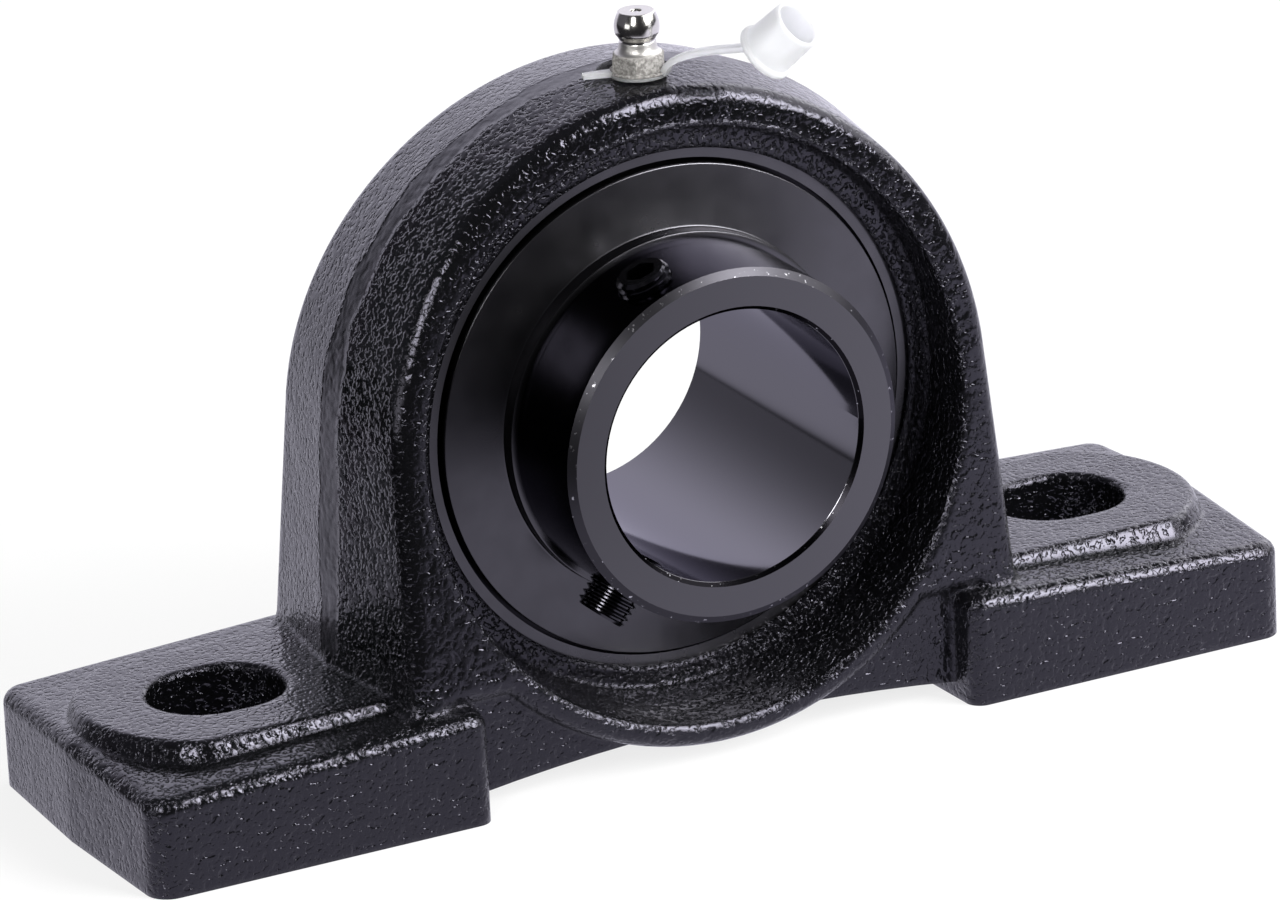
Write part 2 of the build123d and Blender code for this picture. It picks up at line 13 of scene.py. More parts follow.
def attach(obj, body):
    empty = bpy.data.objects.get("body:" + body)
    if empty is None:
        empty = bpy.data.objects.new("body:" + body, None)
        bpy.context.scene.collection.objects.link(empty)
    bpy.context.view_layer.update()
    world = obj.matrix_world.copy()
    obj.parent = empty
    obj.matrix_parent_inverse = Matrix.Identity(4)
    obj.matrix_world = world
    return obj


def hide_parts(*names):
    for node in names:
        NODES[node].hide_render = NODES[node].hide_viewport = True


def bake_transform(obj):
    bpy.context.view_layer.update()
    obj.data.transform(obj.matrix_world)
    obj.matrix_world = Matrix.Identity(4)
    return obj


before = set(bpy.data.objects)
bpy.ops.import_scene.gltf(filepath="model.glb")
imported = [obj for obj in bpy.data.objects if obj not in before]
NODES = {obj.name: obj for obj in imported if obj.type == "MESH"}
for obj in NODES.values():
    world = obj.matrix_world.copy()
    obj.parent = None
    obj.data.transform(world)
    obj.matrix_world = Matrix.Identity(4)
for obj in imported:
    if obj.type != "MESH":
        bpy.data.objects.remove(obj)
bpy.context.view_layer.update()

MM = 0.001
SHAFT_HEIGHT = 49.2 * MM
# Frames for pieces: one with its Z along the shaft, and one on the flat under the nipple.
SHAFT_AXIS = Matrix.Translation((0, 0, SHAFT_HEIGHT)) @ Matrix.Rotation(math.radians(-90), 4, "X")
NIPPLE_FLAT = Matrix.Translation((0, -5.5 * MM, 97.7 * MM))
WHITE = (1.0, 1.0, 1.0, 1.0)
SOFT = {"interpolation_type": "SMOOTHSTEP"}
TIMES = {"operation": "MULTIPLY"}
TIMES_PLUS = {"operation": "MULTIPLY_ADD"}
LOG = logging.getLogger("pillow_block")

Tree = bpy.types.NodeTree
Node = bpy.types.Node
Socket = bpy.types.NodeSocket
Material = bpy.types.Material
Object = bpy.types.Object
# Two numbers: a place in a plane, or where a range starts and ends. A mask rises from 0
# at the start of its range to 1 at the end.
Span = tuple[float, float]


# ---------------------------------------------------------------- small tools
def srgb(text: str) -> tuple[float, float, float, float]:
    """Turns an sRGB hex colour into a linear one.

    Args:
        text: Six hex digits after a hash.

    Returns:
        Linear red, green and blue, and 1.
    """
    channels = [int(text[i:i + 2], 16) / 255 for i in (1, 3, 5)]
    red, green, blue = (c / 12.92 if c <= 0.04045 else ((c + 0.055) / 1.055) ** 2.4 for c in channels)
    return red, green, blue, 1.0


def add_node(tree: Tree, kind: str, inputs: dict[str, Any] | Sequence[Any] = (),
             **settings: Any) -> Node:
    """Adds one node with its settings and its incoming links.

    Args:
        tree: Node tree that the node goes into.
        kind: Node type, without the ShaderNode prefix.
        inputs: What its inputs get, by name or in the order of the inputs in use. A
            number or colour is set on the input, and a socket or node is linked to
            it, a node by its first output in use.
        **settings: Attributes of the node.

    Returns:
        The new node.
    """
    node = tree.nodes.new("ShaderNode" + kind)
    for name, value in settings.items():
        setattr(node, name, value)
    if isinstance(inputs, dict):
        pairs = [(node.inputs[name], value) for name, value in inputs.items()]
    else:
        pairs = zip([socket for socket in node.inputs if socket.enabled], inputs)
    for socket, value in pairs:
        if isinstance(value, Node):
            value = next(output for output in value.outputs if output.enabled)
        if isinstance(value, Socket):
            tree.links.new(value, socket)
        else:
            socket.default_value = value
    return node


def new_material(name: str) -> tuple[Material, Tree, Socket]:
    """Makes a material that has no shader yet.

    Args:
        name: The material's name.

    Returns:
        The material, its node tree, and the place on the piece for its patterns.
    """
    material = bpy.data.materials.new(name)
    material.use_nodes = True
    tree = material.node_tree
    tree.nodes.clear()
    return material, tree, add_node(tree, "TexCoord").outputs["Object"]


def shaft_distance(tree: Tree) -> tuple[Node, Socket]:
    """Where a point lies on the insert.

    Args:
        tree: Node tree that asks.

    Returns:
        Distance from the shaft axis and place along it, in metres.
    """
    place = add_node(tree, "TexCoord").outputs["Object"]
    x, y, z = add_node(tree, "SeparateXYZ", [place]).outputs
    rise = add_node(tree, "Math", (z, SHAFT_HEIGHT), operation="SUBTRACT")
    off_axis = add_node(tree, "CombineXYZ", (x, 0.0, rise))
    return add_node(tree, "VectorMath", [off_axis], operation="LENGTH"), y


def facing_shaft(tree: Tree) -> Node:
    """How squarely a face looks along the shaft.

    Args:
        tree: Node tree that asks.

    Returns:
        1 where the face is square to the shaft, 0 where it runs along it.
    """
    normal = add_node(tree, "NewGeometry").outputs["Normal"]
    along = add_node(tree, "SeparateXYZ", [normal]).outputs[1]
    return add_node(tree, "Math", [along], operation="ABSOLUTE")


# ---------------------------------------------------------------- finishes
@dataclass(frozen=True)
class CastIronPaint:
    """Thick gloss black paint that has flowed over the rough skin of a sand casting.

    The paint fills the sand's grain to a wrinkled skin, so highlights break up into
    short dashes. Along the parting line the flash was ground off, which leaves a flat
    satin band, and the drawn sides of the feet and web are smooth with odd pits.
    """

    colour: str = "#070708"
    sheen: str = "#E2DFF2"
    ior: float = 1.54
    roughness: float = 0.11
    ground_roughness: float = 0.23
    # Skin: width and height of each kind of lump, and the noise values at its foot and top.
    wrinkle: float = 0.75 * MM
    wrinkle_height: float = 0.12 * MM
    wrinkle_rise: Span = (0.34, 0.52)
    wrinkle_twist: float = 0.4
    ripple: float = 1.5 * MM
    ripple_height: float = 0.09 * MM
    wave: float = 8 * MM
    wave_height: float = 0.22 * MM
    pit: float = 1.5 * MM
    pit_depth: float = 0.07 * MM
    pit_fall: Span = (0.45, 0.31)
    pit_elsewhere: float = 0.15
    # How much the wrinkles grow in the recess, and shrink on drawn and front faces.
    recess_gain: float = 2.0
    drawn_loss: float = 0.6
    front_loss: float = 0.76
    # Where those faces are: how squarely they look along the shaft, and their height.
    drawn_facing: Span = (0.85, 0.97)
    drawn_below: Span = (34 * MM, 15.5 * MM)
    front_facing: Span = (0.2, 0.55)
    front_above: Span = (16 * MM, 24 * MM)
    recess: Span = (42.4 * MM, 43.6 * MM)
    # Ground band: half width at the flanks and on the crown, its line and its ends.
    band: float = 2.3 * MM
    band_crown: float = 1.5 * MM
    band_blur: float = 0.9 * MM
    band_back: float = 0.3 * MM
    band_drift: float = 4 * MM
    drift_length: float = 9 * MM
    band_foot: Span = (18.5 * MM, 20.5 * MM)
    crown: Span = (60 * MM, 85 * MM)
    edge_round: float = 1.3 * MM

    def band_mask(self, tree: Tree, place: Socket) -> Node:
        """Finds where the parting line was ground flat.

        Args:
            tree: Node tree of the paint.
            place: Place on the housing.

        Returns:
            1 on the band, 0 beside it.
        """
        y, z = add_node(tree, "SeparateXYZ", [place]).outputs[1:3]
        wander = add_node(tree, "TexNoise", {"Vector": place, "Scale": 1 / self.drift_length,
                                             "Detail": 2.0})
        drift = add_node(tree, "Math", (wander, self.band_drift, -self.band_drift / 2), **TIMES_PLUS)
        shifted = add_node(tree, "Math", (y, self.band_back), operation="ADD")
        off_line = add_node(tree, "Math", [shifted], operation="ABSOLUTE")
        off_line = add_node(tree, "Math", (off_line, drift), operation="ADD")
        high = add_node(tree, "MapRange", (z, *self.crown), **SOFT)
        off_line = add_node(tree, "Math", (high, self.band - self.band_crown, off_line), **TIMES_PLUS)
        on = add_node(tree, "MapRange", (off_line, self.band + self.band_blur, self.band), **SOFT)
        above = add_node(tree, "MapRange", (z, *self.band_foot), **SOFT)
        return add_node(tree, "Math", (on, above), **TIMES)

    def flatten(self, tree: Tree, normal: Node, band: Node) -> Node:
        """Takes the crease of the two drafts out of the ground band.

        Args:
            tree: Node tree of the paint.
            normal: Normal with the crease.
            band: Mask of the ground band.

        Returns:
            Normal without the crease.
        """
        x, y, z = add_node(tree, "SeparateXYZ", [normal]).outputs
        keep = add_node(tree, "Math", (1.0, band), operation="SUBTRACT")
        across = add_node(tree, "Math", (y, keep), **TIMES)
        joined = add_node(tree, "CombineXYZ", (x, across, z))
        return add_node(tree, "VectorMath", [joined], operation="NORMALIZE")

    def rough_skin(self, tree: Tree, place: Socket, band: Node) -> tuple[Node, Node]:
        """How much of the wrinkles shows, and where the skin is flat with odd pits.

        Args:
            tree: Node tree of the paint.
            place: Place on the housing.
            band: Mask of the ground band.

        Returns:
            The share of the wrinkles, and the mask of the flat skin.
        """
        z = add_node(tree, "SeparateXYZ", [place]).outputs[2]
        facing = facing_shaft(tree)
        outside = add_node(tree, "MapRange", (shaft_distance(tree)[0], *self.recess), **SOFT)
        masks = []
        for look, reach in ((self.drawn_facing, self.drawn_below),
                            (self.front_facing, self.front_above)):
            mask = add_node(tree, "MapRange", (facing, *look), **SOFT)
            within = add_node(tree, "MapRange", (z, *reach), **SOFT)
            for factor in (within, outside):
                mask = add_node(tree, "Math", (mask, factor), **TIMES)
            masks.append(mask)
        drawn, front = masks
        share = add_node(tree, "Math", (1.0, band), operation="SUBTRACT")
        for mask, gain, start in ((drawn, -self.drawn_loss, 1.0), (front, -self.front_loss, 1.0),
                                  (outside, 1 - self.recess_gain, self.recess_gain)):
            keep = add_node(tree, "Math", (mask, gain, start), **TIMES_PLUS)
            share = add_node(tree, "Math", (share, keep), **TIMES)
        return share, drawn

    def build(self) -> Material:
        """Makes the paint.

        Returns:
            The material.
        """
        material, tree, place = new_material("gloss_paint_on_cast_iron")
        band = self.band_mask(tree, place)
        share, drawn = self.rough_skin(tree, place, band)
        lumps = add_node(tree, "TexNoise", {"Vector": place, "Scale": 1 / self.wrinkle,
                                            "Detail": 1.5, "Distortion": self.wrinkle_twist})
        wrinkle = add_node(tree, "MapRange", (lumps, *self.wrinkle_rise), **SOFT)
        wrinkle = add_node(tree, "Math", (wrinkle, share), **TIMES)
        level = add_node(tree, "Math", (wrinkle, self.wrinkle_height), **TIMES)
        for size, height in ((self.ripple, self.ripple_height), (self.wave, self.wave_height)):
            swell = add_node(tree, "TexNoise", {"Vector": place, "Scale": 1 / size, "Detail": 1.0})
            level = add_node(tree, "Math", (swell, height, level), **TIMES_PLUS)
        holes = add_node(tree, "TexNoise", {"Vector": place, "Scale": 1 / self.pit, "Detail": 0.5})
        pit = add_node(tree, "MapRange", (holes, *self.pit_fall), **SOFT)
        deep = add_node(tree, "Math", (drawn, 1 - self.pit_elsewhere, self.pit_elsewhere),
                        **TIMES_PLUS)
        pit = add_node(tree, "Math", (deep, pit), **TIMES)
        level = add_node(tree, "Math", (pit, -self.pit_depth, level), **TIMES_PLUS)
        rounded = add_node(tree, "Bevel", [self.edge_round], samples=6)
        bump = add_node(tree, "Bump", {"Height": level, "Distance": 1.0, "Strength": 1.0,
                                       "Normal": self.flatten(tree, rounded, band)})
        rough = add_node(tree, "Math", (band, self.ground_roughness - self.roughness,
                                        self.roughness), **TIMES_PLUS)
        shader = add_node(tree, "BsdfPrincipled", {
            "Base Color": srgb(self.colour), "Specular Tint": srgb(self.sheen),
            "IOR": self.ior, "Roughness": rough, "Normal": bump})
        add_node(tree, "OutputMaterial", [shader])
        return material


class RingPart(Enum):
    """Which round part of the insert a steel finish is for."""

    OUTER = "outer"
    INNER = "inner"
    FLINGER = "flinger"


@dataclass(frozen=True)
class BlackedSteel:
    """Ground bearing steel after black oxide: dark, with the grinder's fine rings.

    The oxide takes most of the metal's brightness and leaves a sharp, dim mirror that
    brightens at grazing angles. The rings draw each highlight out into a streak.
    """

    part: RingPart
    colour: str
    roughness: float
    edge_tint: str = "#FFFFFF"
    # The grinder's rings. Real ones are some hundredths of a millimetre apart, which is
    # too fine to show, so these are drawn coarser.
    line_height: float = 0.0006 * MM
    line_pitch: float = 0.16 * MM
    # Oily smears: their width, how much they dull and clear the mirror, and darken it.
    smear: float = 5 * MM
    smear_rough: Span = (0.75, 1.3)
    smear_dark: float = 0.8
    # Inner ring only: how its faces stand, its bore and mouth, the screw holes' walls,
    # and the nicks on its chamfers.
    end_facing: Span = (0.9, 0.99)
    chamfer_facing: Span = (0.2, 0.4)
    mouth: Span = (22.0 * MM, 21.0 * MM)
    bore: Span = (20.06 * MM, 20.02 * MM)
    hole: Span = (4.1 * MM, 4.06 * MM)
    hole_rise: Span = (0.0, 10 * MM)
    nick: float = 0.7 * MM
    nick_noise: Span = (0.66, 0.72)
    # Colour and roughness of its end faces, chamfers, inner edges, bore and nicks.
    faces: tuple[tuple[str, float], ...] = (
        ("#5A595D", 0.32), ("#3A393D", 0.34), ("#18171A", 0.2), ("#6D6C70", 0.1),
        ("#B8B7BC", 0.25))

    def build(self) -> Material:
        """Makes the steel.

        Returns:
            The material.
        """
        material, tree, place = new_material(f"black_oxide_steel_{self.part.value}")
        radius, along = shaft_distance(tree)
        spot = add_node(tree, "CombineXYZ", (radius, along))
        lines = add_node(tree, "TexNoise", {"Vector": spot, "Scale": 1 / self.line_pitch,
                                            "Detail": 2.0})
        smear = add_node(tree, "TexNoise", {"Vector": place, "Scale": 1 / self.smear, "Detail": 3.0})
        smooth, dull = (self.roughness * share for share in self.smear_rough)
        rough = add_node(tree, "MapRange", (smear, 0.0, 1.0, smooth, dull))
        light = srgb(self.colour)
        dark = [self.smear_dark * channel for channel in light]
        tone = add_node(tree, "Mix", (smear, light, dark), data_type="RGBA")
        if self.part is RingPart.INNER:
            tone, rough = self.inner_faces(tree, place, radius, tone, rough)
            lines = self.tapped(tree, place, lines)
        bump = add_node(tree, "Bump", {"Height": lines, "Distance": self.line_height,
                                       "Strength": 0.6})
        shader = add_node(tree, "BsdfPrincipled", {
            "Base Color": tone, "Metallic": 1.0, "Roughness": rough,
            "Specular Tint": srgb(self.edge_tint), "Normal": bump})
        add_node(tree, "OutputMaterial", [shader])
        return material

    def tapped(self, tree: Tree, place: Socket, lines: Node) -> Node:
        """Adds the thread in the walls of both set-screw holes to the grinder's rings.

        Args:
            tree: Node tree of the steel.
            place: Place on the ring.
            lines: Height of the grinder's rings, 0 to 1.

        Returns:
            Height with the threads, in the same unit.
        """
        screws = SetScrews()
        centre = (0.0, screws.inset * MM, SHAFT_HEIGHT)
        deep = screws.depth * MM / self.line_height
        for _, angle, _ in screws.angles:
            way = (math.cos(math.radians(angle)), 0.0, math.sin(math.radians(angle)))
            local = add_node(tree, "VectorMath", (place, centre), operation="SUBTRACT")
            rise = add_node(tree, "VectorMath", (local, way), operation="DOT_PRODUCT")
            foot = add_node(tree, "VectorMath", (way, rise), operation="SCALE")
            off = add_node(tree, "VectorMath", (local, foot), operation="DISTANCE")
            turn = add_node(tree, "Math", (rise, 2 * math.pi / (screws.pitch * MM)), **TIMES)
            thread = add_node(tree, "Math", [turn], operation="SINE")
            for value, span in ((off, self.hole), (rise, self.hole_rise)):
                mask = add_node(tree, "MapRange", (value, *span), **SOFT)
                thread = add_node(tree, "Math", (thread, mask), **TIMES)
            lines = add_node(tree, "Math", (thread, deep / 2, lines), **TIMES_PLUS)
        return lines

    def inner_faces(self, tree: Tree, place: Socket, radius: Node, tone: Node,
                    rough: Node) -> tuple[Node, Node]:
        """Gives the inner ring's end faces and bore their own finish.

        Args:
            tree: Node tree of the steel.
            place: Place on the ring.
            radius: Distance from the shaft axis.
            tone: Colour of the outer cylinder.
            rough: Roughness of the outer cylinder.

        Returns:
            Colour and roughness with the faces, chamfers and bore worked in.
        """
        facing = facing_shaft(tree)
        specks = add_node(tree, "TexNoise", {"Vector": place, "Scale": 1 / self.nick, "Detail": 3.0})
        face, aside, slope, mouth, bore, nick = (
            add_node(tree, "MapRange", (value, *span), **SOFT) for value, span in (
                (facing, self.end_facing), (facing, self.end_facing[::-1]),
                (facing, self.chamfer_facing), (radius, self.mouth), (radius, self.bore),
                (specks, self.nick_noise)))
        chamfer = add_node(tree, "Math", (slope, aside), **TIMES)
        edge, nick = (add_node(tree, "Math", (chamfer, mask), **TIMES) for mask in (mouth, nick))
        for mask, (shade, value) in zip((face, chamfer, edge, bore, nick), self.faces):
            tone = add_node(tree, "Mix", (mask, tone, srgb(shade)), data_type="RGBA")
            rough = add_node(tree, "Mix", (mask, rough, value))
        return tone, rough


@dataclass(frozen=True)
class PlainSteel:
    """Steel of a small part, with the faint uneven polish of handling and tumbling.

    The polish varies from spot to spot, so a highlight breaks softly at its edge.
    """

    name: str
    colour: str
    roughness: float
    # The polish of a real part varies over smaller spots, drawn coarser here to show.
    speck: float = 0.3 * MM
    speck_height: float = 0.01 * MM
    speck_rough: Span = (0.7, 1.4)

    def build(self) -> Material:
        """Makes the steel.

        Returns:
            The material.
        """
        material, tree, place = new_material(self.name)
        uneven = add_node(tree, "TexNoise", {"Vector": place, "Scale": 1 / self.speck, "Detail": 3.0})
        smooth, dull = (self.roughness * share for share in self.speck_rough)
        rough = add_node(tree, "MapRange", (uneven, 0.0, 1.0, smooth, dull))
        bump = add_node(tree, "Bump", {"Height": uneven, "Distance": self.speck_height,
                                       "Strength": 0.5})
        shader = add_node(tree, "BsdfPrincipled", {
            "Base Color": srgb(self.colour), "Metallic": 1.0, "Roughness": rough,
            "Normal": bump})
        add_node(tree, "OutputMaterial", [shader])
        return material


@dataclass(frozen=True)
class ZincPlate:
    """Electroplated zinc on a turned fitting.

    The polished head mirrors the room, the turned neck is duller, and the hexagon,
    left as the bar was drawn, is a speckled warm grey with hardly any mirror. Its
    heights are measured from the seat, which is given in metres above the base.
    """

    seat: float
    colour: str = "#C9C7C3"
    drawn: str = "#716E6B"
    polished: float = 0.16
    dull: float = 0.42
    drawn_roughness: float = 0.35
    drawn_loss: float = 0.7
    # Where one finish gives way to the next.
    hexagon_top: Span = (2.95 * MM, 2.75 * MM)
    neck_top: Span = (4.4 * MM, 4.6 * MM)
    head_top: Span = (8.8 * MM, 8.88 * MM)
    # Hexagon's grey: how much there is all over, and how much more a blotch adds.
    grey: float = 0.45
    blotch_grey: float = 0.6
    blotch: float = 0.4 * MM
    blotch_noise: Span = (0.7, 0.3)
    speck: float = 0.35 * MM
    speck_rough: Span = (0.75, 1.25)
    speck_noise: Span = (0.3, 0.45)
    speck_depth: float = 0.02 * MM

    def build(self) -> Material:
        """Makes the plating.

        Returns:
            The material.
        """
        material, tree, place = new_material("bright_zinc_plating")
        z = add_node(tree, "SeparateXYZ", [place]).outputs[2]
        height = add_node(tree, "Math", (z, self.seat), operation="SUBTRACT")
        low, above, over = (add_node(tree, "MapRange", (height, *span), **SOFT)
                            for span in (self.hexagon_top, self.neck_top, self.head_top))
        metal = add_node(tree, "Math", (low, -self.drawn_loss, 1.0), **TIMES_PLUS)
        patches = add_node(tree, "TexNoise", {"Vector": place, "Scale": 1 / self.blotch, "Detail": 3.0})
        blotch = add_node(tree, "MapRange", (patches, *self.blotch_noise), **SOFT)
        blotch = add_node(tree, "Math", (blotch, self.blotch_grey, self.grey), **TIMES_PLUS)
        blotch = add_node(tree, "Math", (low, blotch), **TIMES)
        tone = add_node(tree, "Mix", (blotch, srgb(self.colour), srgb(self.drawn)),
                        data_type="RGBA")
        head = add_node(tree, "Math", (above, over), operation="SUBTRACT")
        rough = add_node(tree, "Mix", (head, self.dull, self.polished))
        rough = add_node(tree, "Math", (low, self.drawn_roughness, rough), **TIMES_PLUS)
        specks = add_node(tree, "TexNoise", {"Vector": place, "Scale": 1 / self.speck, "Detail": 3.0})
        uneven = add_node(tree, "MapRange", (specks, 0.0, 1.0, *self.speck_rough))
        rough = add_node(tree, "Math", (rough, uneven), **TIMES)
        pit = add_node(tree, "MapRange", (specks, *self.speck_noise), **SOFT)
        under = add_node(tree, "MapRange", (height, *self.neck_top[::-1]), **SOFT)
        pit = add_node(tree, "Math", (pit, under), **TIMES)
        bump = add_node(tree, "Bump", {"Height": pit, "Distance": self.speck_depth,
                                       "Strength": 0.6})
        shader = add_node(tree, "BsdfPrincipled", {
            "Base Color": tone, "Metallic": metal, "Roughness": rough, "Normal": bump})
        add_node(tree, "OutputMaterial", [shader])
        return material


@dataclass(frozen=True)
class MilkyPolyethylene:
    """Natural low-density polyethylene: soft, waxy and milky, with light soaking through."""

    colour: str = "#F4F5F7"
    ior: float = 1.51
    clearness: float = 0.6
    roughness: float = 0.36
    density: float = 2.0 * MM
    swirl: float = 2.5 * MM
    swirl_height: float = 0.05 * MM

    def build(self) -> Material:
        """Makes the plastic.

        Returns:
            The material.
        """
        material, tree, place = new_material("milky_polyethylene")
        swirl = add_node(tree, "TexNoise", {"Vector": place, "Scale": 1 / self.swirl, "Detail": 1.0})
        bump = add_node(tree, "Bump", {"Height": swirl, "Distance": self.swirl_height,
                                       "Strength": 0.5})
        shader = add_node(tree, "BsdfPrincipled", {
            "Base Color": srgb(self.colour), "Roughness": self.roughness, "IOR": self.ior,
            "Transmission Weight": self.clearness, "Subsurface Weight": 1.0,
            "Subsurface Radius": (1.0, 1.0, 1.0), "Subsurface Scale": self.density,
            "Normal": bump})
        add_node(tree, "OutputMaterial", [shader])
        return material


@dataclass(frozen=True)
class SealRubber:
    """Moulded nitrile rubber: it swallows light and shows only a wide, dull sheen."""

    colour: str = "#141415"
    roughness: float = 0.6
    # The mould's texture, drawn coarser than a real one's so that it shows.
    grain: float = 0.5 * MM
    grain_height: float = 0.02 * MM

    def build(self) -> Material:
        """Makes the rubber.

        Returns:
            The material.
        """
        material, tree, place = new_material("nitrile_rubber")
        grain = add_node(tree, "TexNoise", {"Vector": place, "Scale": 1 / self.grain, "Detail": 2.0})
        bump = add_node(tree, "Bump", {"Height": grain, "Distance": self.grain_height,
                                       "Strength": 0.5})
        shader = add_node(tree, "BsdfPrincipled", {
            "Base Color": srgb(self.colour), "Roughness": self.roughness, "Normal": bump})
        add_node(tree, "OutputMaterial", [shader])
        return material


# ---------------------------------------------------------------- modelling
@dataclass(frozen=True)
class Fit:
    """Where a finished piece belongs: its body, or none if it flexes, its nodes and its slot."""

    body: str
    nodes: tuple[str, ...]
    slot: str


def select_only(piece: Object) -> None:
    """Makes one piece the selected and active one.

    Args:
        piece: The piece.
    """
    bpy.ops.object.select_all(action="DESELECT")
    piece.select_set(True)
    bpy.context.view_layer.objects.active = piece


def edit(piece: Object, kind: str = "VERT") -> None:
    """Opens a piece for editing with everything selected.

    Args:
        piece: The piece.
        kind: What is selected: VERT, EDGE or FACE.
    """
    select_only(piece)
    bpy.ops.object.mode_set(mode="EDIT")
    bpy.ops.mesh.select_mode(type=kind)
    bpy.ops.mesh.select_all(action="SELECT")


def close_up(piece: Object) -> None:
    """Merges doubles, turns faces outwards and leaves edit mode.

    Args:
        piece: The piece that is being edited.
    """
    bpy.ops.mesh.select_all(action="SELECT")
    bpy.ops.mesh.remove_doubles(threshold=0.002 * MM)
    bpy.ops.mesh.normals_make_consistent(inside=False)
    bpy.ops.object.mode_set(mode="OBJECT")
    piece.data.name = piece.name


def started(name: str, add: Callable[..., Any], **where: Any) -> Object:
    """Starts a piece from a primitive, with its place in its mesh.

    Args:
        name: The piece's name.
        add: Operator that adds the primitive.
        **where: The primitive's size and place.

    Returns:
        The piece, selected, with its object at the origin.
    """
    bpy.ops.object.select_all(action="DESELECT")
    add(**where)
    piece = bpy.context.object
    piece.name = name
    select_only(piece)
    bpy.ops.object.transform_apply(location=True, rotation=True, scale=True)
    return piece


def outline(name: str, corners: Sequence[Span]) -> Object:
    """Draws an open line of edges in the XZ plane, by extruding one point.

    Args:
        name: The piece's name.
        corners: Distance from Z and height of each corner, in mm.

    Returns:
        The line, still in edit mode, all of it selected.
    """
    piece = started(name, bpy.ops.mesh.primitive_plane_add, size=MM)
    edit(piece)
    bpy.ops.mesh.merge(type="CENTER")
    bpy.ops.transform.translate(value=(corners[0][0] * MM, 0, corners[0][1] * MM))
    for (r0, h0), (r1, h1) in zip(corners, corners[1:]):
        step = ((r1 - r0) * MM, 0, (h1 - h0) * MM)
        bpy.ops.mesh.extrude_region_move(TRANSFORM_OT_translate={"value": step})
    bpy.ops.mesh.select_all(action="SELECT")
    return piece


def turned(name: str, corners: Sequence[Span], steps: int = 96) -> Object:
    """Turns a section round Z.

    Args:
        name: The piece's name.
        corners: Radius and height of each corner, in mm. The line is closed, or
            starts and ends on the axis.
        steps: Faces round the turn.

    Returns:
        The turned piece, about the origin.
    """
    piece = outline(name, corners)
    bpy.ops.mesh.spin(steps=steps, angle=2 * math.pi, center=(0, 0, 0), axis=(0, 0, 1))
    close_up(piece)
    return piece


def modified(piece: Object, kind: str, **settings: Any) -> Object:
    """Puts a modifier on a piece and applies it.

    Args:
        piece: The piece.
        kind: Type of the modifier.
        **settings: Attributes of the modifier.

    Returns:
        The same piece.
    """
    select_only(piece)
    modifier = piece.modifiers.new(kind.title(), kind)
    for name, value in settings.items():
        setattr(modifier, name, value)
    bpy.ops.object.modifier_apply(modifier=modifier.name)
    return piece


def softened(piece: Object, width: float, segments: int, angle: float) -> Object:
    """Rounds the sharp edges of a piece.

    Args:
        piece: The piece.
        width: Width of the rounding, in mm.
        segments: Faces across it.
        angle: Angle above which an edge counts as sharp, in degrees.

    Returns:
        The same piece.
    """
    return modified(piece, "BEVEL", width=width * MM, segments=segments, limit_method="ANGLE",
                    angle_limit=math.radians(angle))


def wound(piece: Object, pitch: float, turns: int, steps: int) -> Object:
    """Winds a section round Z into a helix.

    Args:
        piece: The section, beside the axis.
        pitch: Rise of one turn, in mm.
        turns: How many turns.
        steps: Faces round one turn.

    Returns:
        The same piece.
    """
    return modified(piece, "SCREW", axis="Z", angle=2 * math.pi, screw_offset=pitch * MM,
                    iterations=turns, steps=steps, render_steps=steps, use_merge_vertices=True,
                    merge_threshold=0.001 * MM)


def copied(piece: Object, name: str) -> Object:
    """Copies a piece, with a mesh of its own.

    Args:
        piece: The piece that repeats.
        name: The copy's name.

    Returns:
        The copy, in the same place.
    """
    select_only(piece)
    bpy.ops.object.duplicate(linked=False)
    copy = bpy.context.object
    copy.name = copy.data.name = name
    return copy


def combined(piece: Object, tool: Object, operation: str) -> Object:
    """Joins, cuts or crosses a piece with another one, which is used up.

    Args:
        piece: The piece that stays.
        tool: The piece that is used up.
        operation: UNION, DIFFERENCE or INTERSECT.

    Returns:
        The piece that stays.
    """
    modified(piece, "BOOLEAN", object=tool, operation=operation, solver="EXACT")
    bpy.data.objects.remove(tool, do_unlink=True)
    return piece


def prism(name: str, flats: float, low: float, high: float, turn: float = 0.0) -> Object:
    """Makes a hexagonal prism about Z.

    Args:
        name: The piece's name.
        flats: Width across flats, in mm.
        low: Height of its bottom, in mm.
        high: Height of its top, in mm.
        turn: Heading of one corner, in degrees.

    Returns:
        The prism.
    """
    corner = flats / 2 / math.cos(math.radians(30))
    return started(name, bpy.ops.mesh.primitive_cylinder_add, vertices=6, radius=corner * MM,
                   depth=(high - low) * MM, location=(0, 0, (low + high) / 2 * MM),
                   rotation=(0, 0, math.radians(turn - 90)))


def finished(piece: Object, place: Matrix, fit: Fit, material: Material, smooth: float) -> Object:
    """Puts a piece where it belongs and dresses it.

    Args:
        piece: The piece, modelled about the origin.
        place: Where its origin and axes go.
        fit: Its body, nodes and slot.
        material: Its finish.
        smooth: Sharpest angle that is still shaded smooth, in degrees.

    Returns:
        The same piece.
    """
    piece.matrix_world = place
    select_only(piece)
    bpy.ops.object.transform_apply(location=True, rotation=True, scale=True)
    bpy.ops.object.shade_smooth_by_angle(angle=math.radians(smooth))
    piece.data.materials.clear()
    piece.data.materials.append(material)
    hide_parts(*fit.nodes)
    if fit.body:
        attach(piece, fit.body)
    LOG.info("built %s, %d faces, on %s", piece.name, len(piece.data.polygons),
             fit.body or "two bodies")
    return piece


